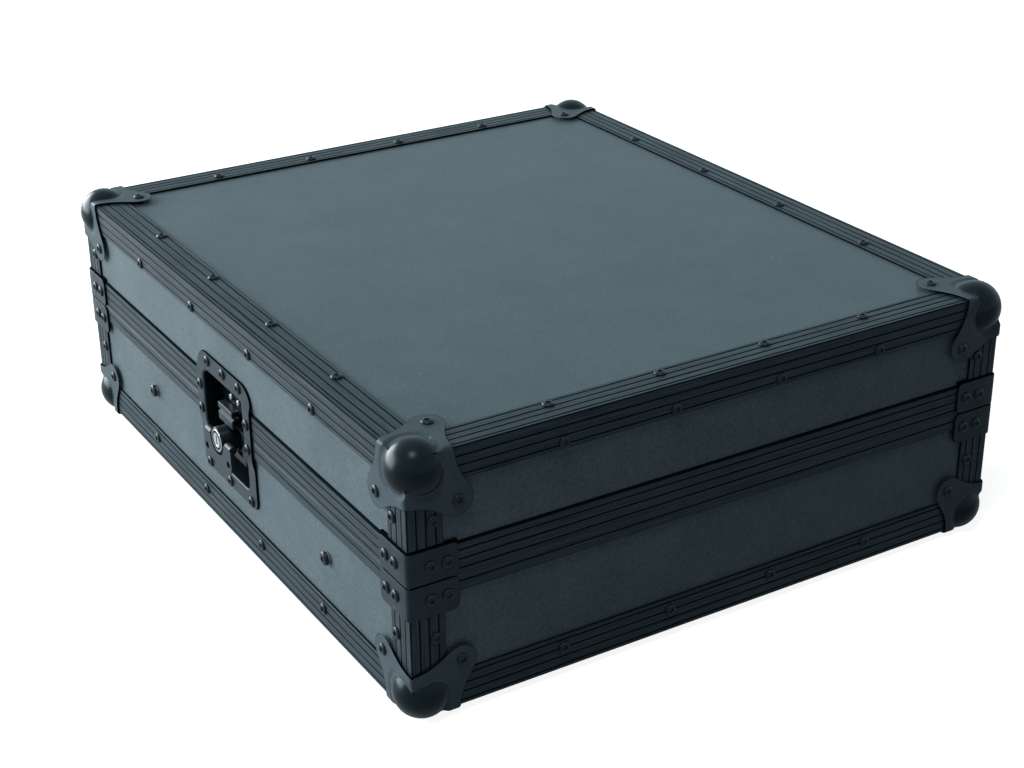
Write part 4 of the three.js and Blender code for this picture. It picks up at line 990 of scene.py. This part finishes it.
def tube(line, radius, level, sides=18):
    """A round bar along a flat line: a ring at each point, square to the mean of the two runs beside it."""
    step = np.gradient(line, axis=0)
    step = step / np.linalg.norm(step, axis=1, keepdims=True)
    across = np.stack([-step[:, 1], step[:, 0]], 1)
    turn = np.arange(sides) * 2 * np.pi / sides
    flat = line[:, None] + across[:, None] * (radius * np.cos(turn))[None, :, None]
    w = np.broadcast_to(level + radius * np.sin(turn), flat.shape[:2])[..., None]
    points = np.concatenate([flat, w], -1)
    loop = np.arange(sides)
    return points, [*quads(len(line), sides, wrap=True), loop[::-1], loop + (len(line) - 1) * sides]


points, faces = merged(plate, *(folded(ear_line, u - 4, u + 4) for u in (-70, 70)))
mount = piece("handle_plate_steel", on_back(points), faces, coated, "base", ("handle_plate",))
bevelled(mount, 0.5 * MM)

bow_half = [[(76, PIVOT), (65.5, PIVOT)], arc(65, PIVOT - 10, 10, 90, 180, 9)[1:]]
bow_half += [arc(45, GRIP + 10, 10, 0, -90, 9), [(22, GRIP), (0, GRIP)]]
bow_half = np.concatenate(bow_half)
bow_line = np.concatenate([bow_half, bow_half[::-1][1:] * (-1, 1)])
points, faces = tube(bow_line * MM, BOW_RADIUS * MM, BOW_LEVEL * MM)
piece("handle_bow_steel", on_back(points), faces, coated, "handle", ("handle_bow",))

# Moulded rubber grip: matt, with a fine spark-eroded texture from its mould.
start = ("#14181b", 0.72, 0.0, 1.4, "#c2deef")
rubber, tree, shader, spark = clouded("moulded_rubber", start, 0.9 * MM, 3.0, "#101416", "#1b2023")
rough = node(tree, "Bump", {"Strength": 0.5, "Distance": 0.1 * MM}, {"Height": spark})
tree.links.new(rough[0], shader.inputs["Normal"])
end = np.array([GRIP_HALF, GRIP_HALF, GRIP_HALF - 0.8])
x = np.concatenate([-end, np.linspace(-39, 39, 79), end[::-1]])
rounded = 0.35 * np.clip((np.abs(x) - GRIP_HALF + 4) / 4, 0, 1) ** 2
swell = 1 - rounded - 0.035 * (1 + np.cos(x * 2 * np.pi / RIB_PITCH))
swell[[0, -1]] = 0.0
turn = np.arange(32) * 2 * np.pi / 32
v = GRIP + 9.9 * swell[:, None] * np.cos(turn)
w = BOW_LEVEL + 5.9 * swell[:, None] * np.sin(turn)
points = np.stack(np.broadcast_arrays(x[:, None], v, w), -1)
faces = quads(len(x), 32, wrap=True)
piece("handle_grip_rubber", on_back(points * MM), faces, rubber, "handle", ("handle_grip",))

# Lid foam
# A sheet of open-cell foam glued under the top board, with a cut egg-crate face that presses on the gear.
# Its crests are 42 mm apart and its edge is rounded over 4 mm.
CREST_PITCH, CREST, ROUNDED, EDGE_DROP = 42 * MM, 4 * MM, 4 * MM, 3 * MM

# Open-cell foam: foamed and cut, so small dark pores cover it and it has no shine.
foam, tree, shader = finish("open_cell_foam", "#3a3e41", 0.95)
place = node(tree, "TexCoord")["Object"]
cells = node(tree, "TexVoronoi", {"Scale": 1 / (1.8 * MM)}, {"Vector": place})["Distance"]
settings = {"data_type": "RGBA", "A": linear("#24272a"), "B": linear("#484e52")}
tone = node(tree, "Mix", settings, {"Factor": cells})
tree.links.new(tone["Result"], shader.inputs["Base Color"])
pore = node(tree, "Bump", {"Strength": 0.8, "Distance": 0.5 * MM}, {"Height": cells})
tree.links.new(pore[0], shader.inputs["Normal"])
low, high = (np.array(c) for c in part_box("lid_foam"))
u, v = np.meshgrid(np.linspace(0, 1, 161), np.linspace(0, 1, 187), indexing="ij")
x = low[0] + (high[0] - low[0]) * u
y = low[1] + (high[1] - low[1]) * v
rim = np.minimum.reduce([x - low[0], high[0] - x, y - low[1], high[1] - y])
edge_drop = np.clip(1 - rim / ROUNDED, 0, 1) ** 2 * EDGE_DROP
wave = np.cos(x / CREST_PITCH * 2 * np.pi) * np.cos(y / CREST_PITCH * 2 * np.pi)
under = np.stack([x, y, low[2] + CREST * (1 + wave) + edge_drop], -1)
above = np.stack([x, y, np.full_like(x, high[2])], -1)
points, faces = closed_sheet(under, above)
pad = piece("lid_foam_pad", points, faces, foam, "lid", ("lid_foam",))

# Size
# The bounds of the dressed case, in metres.
low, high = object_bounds()
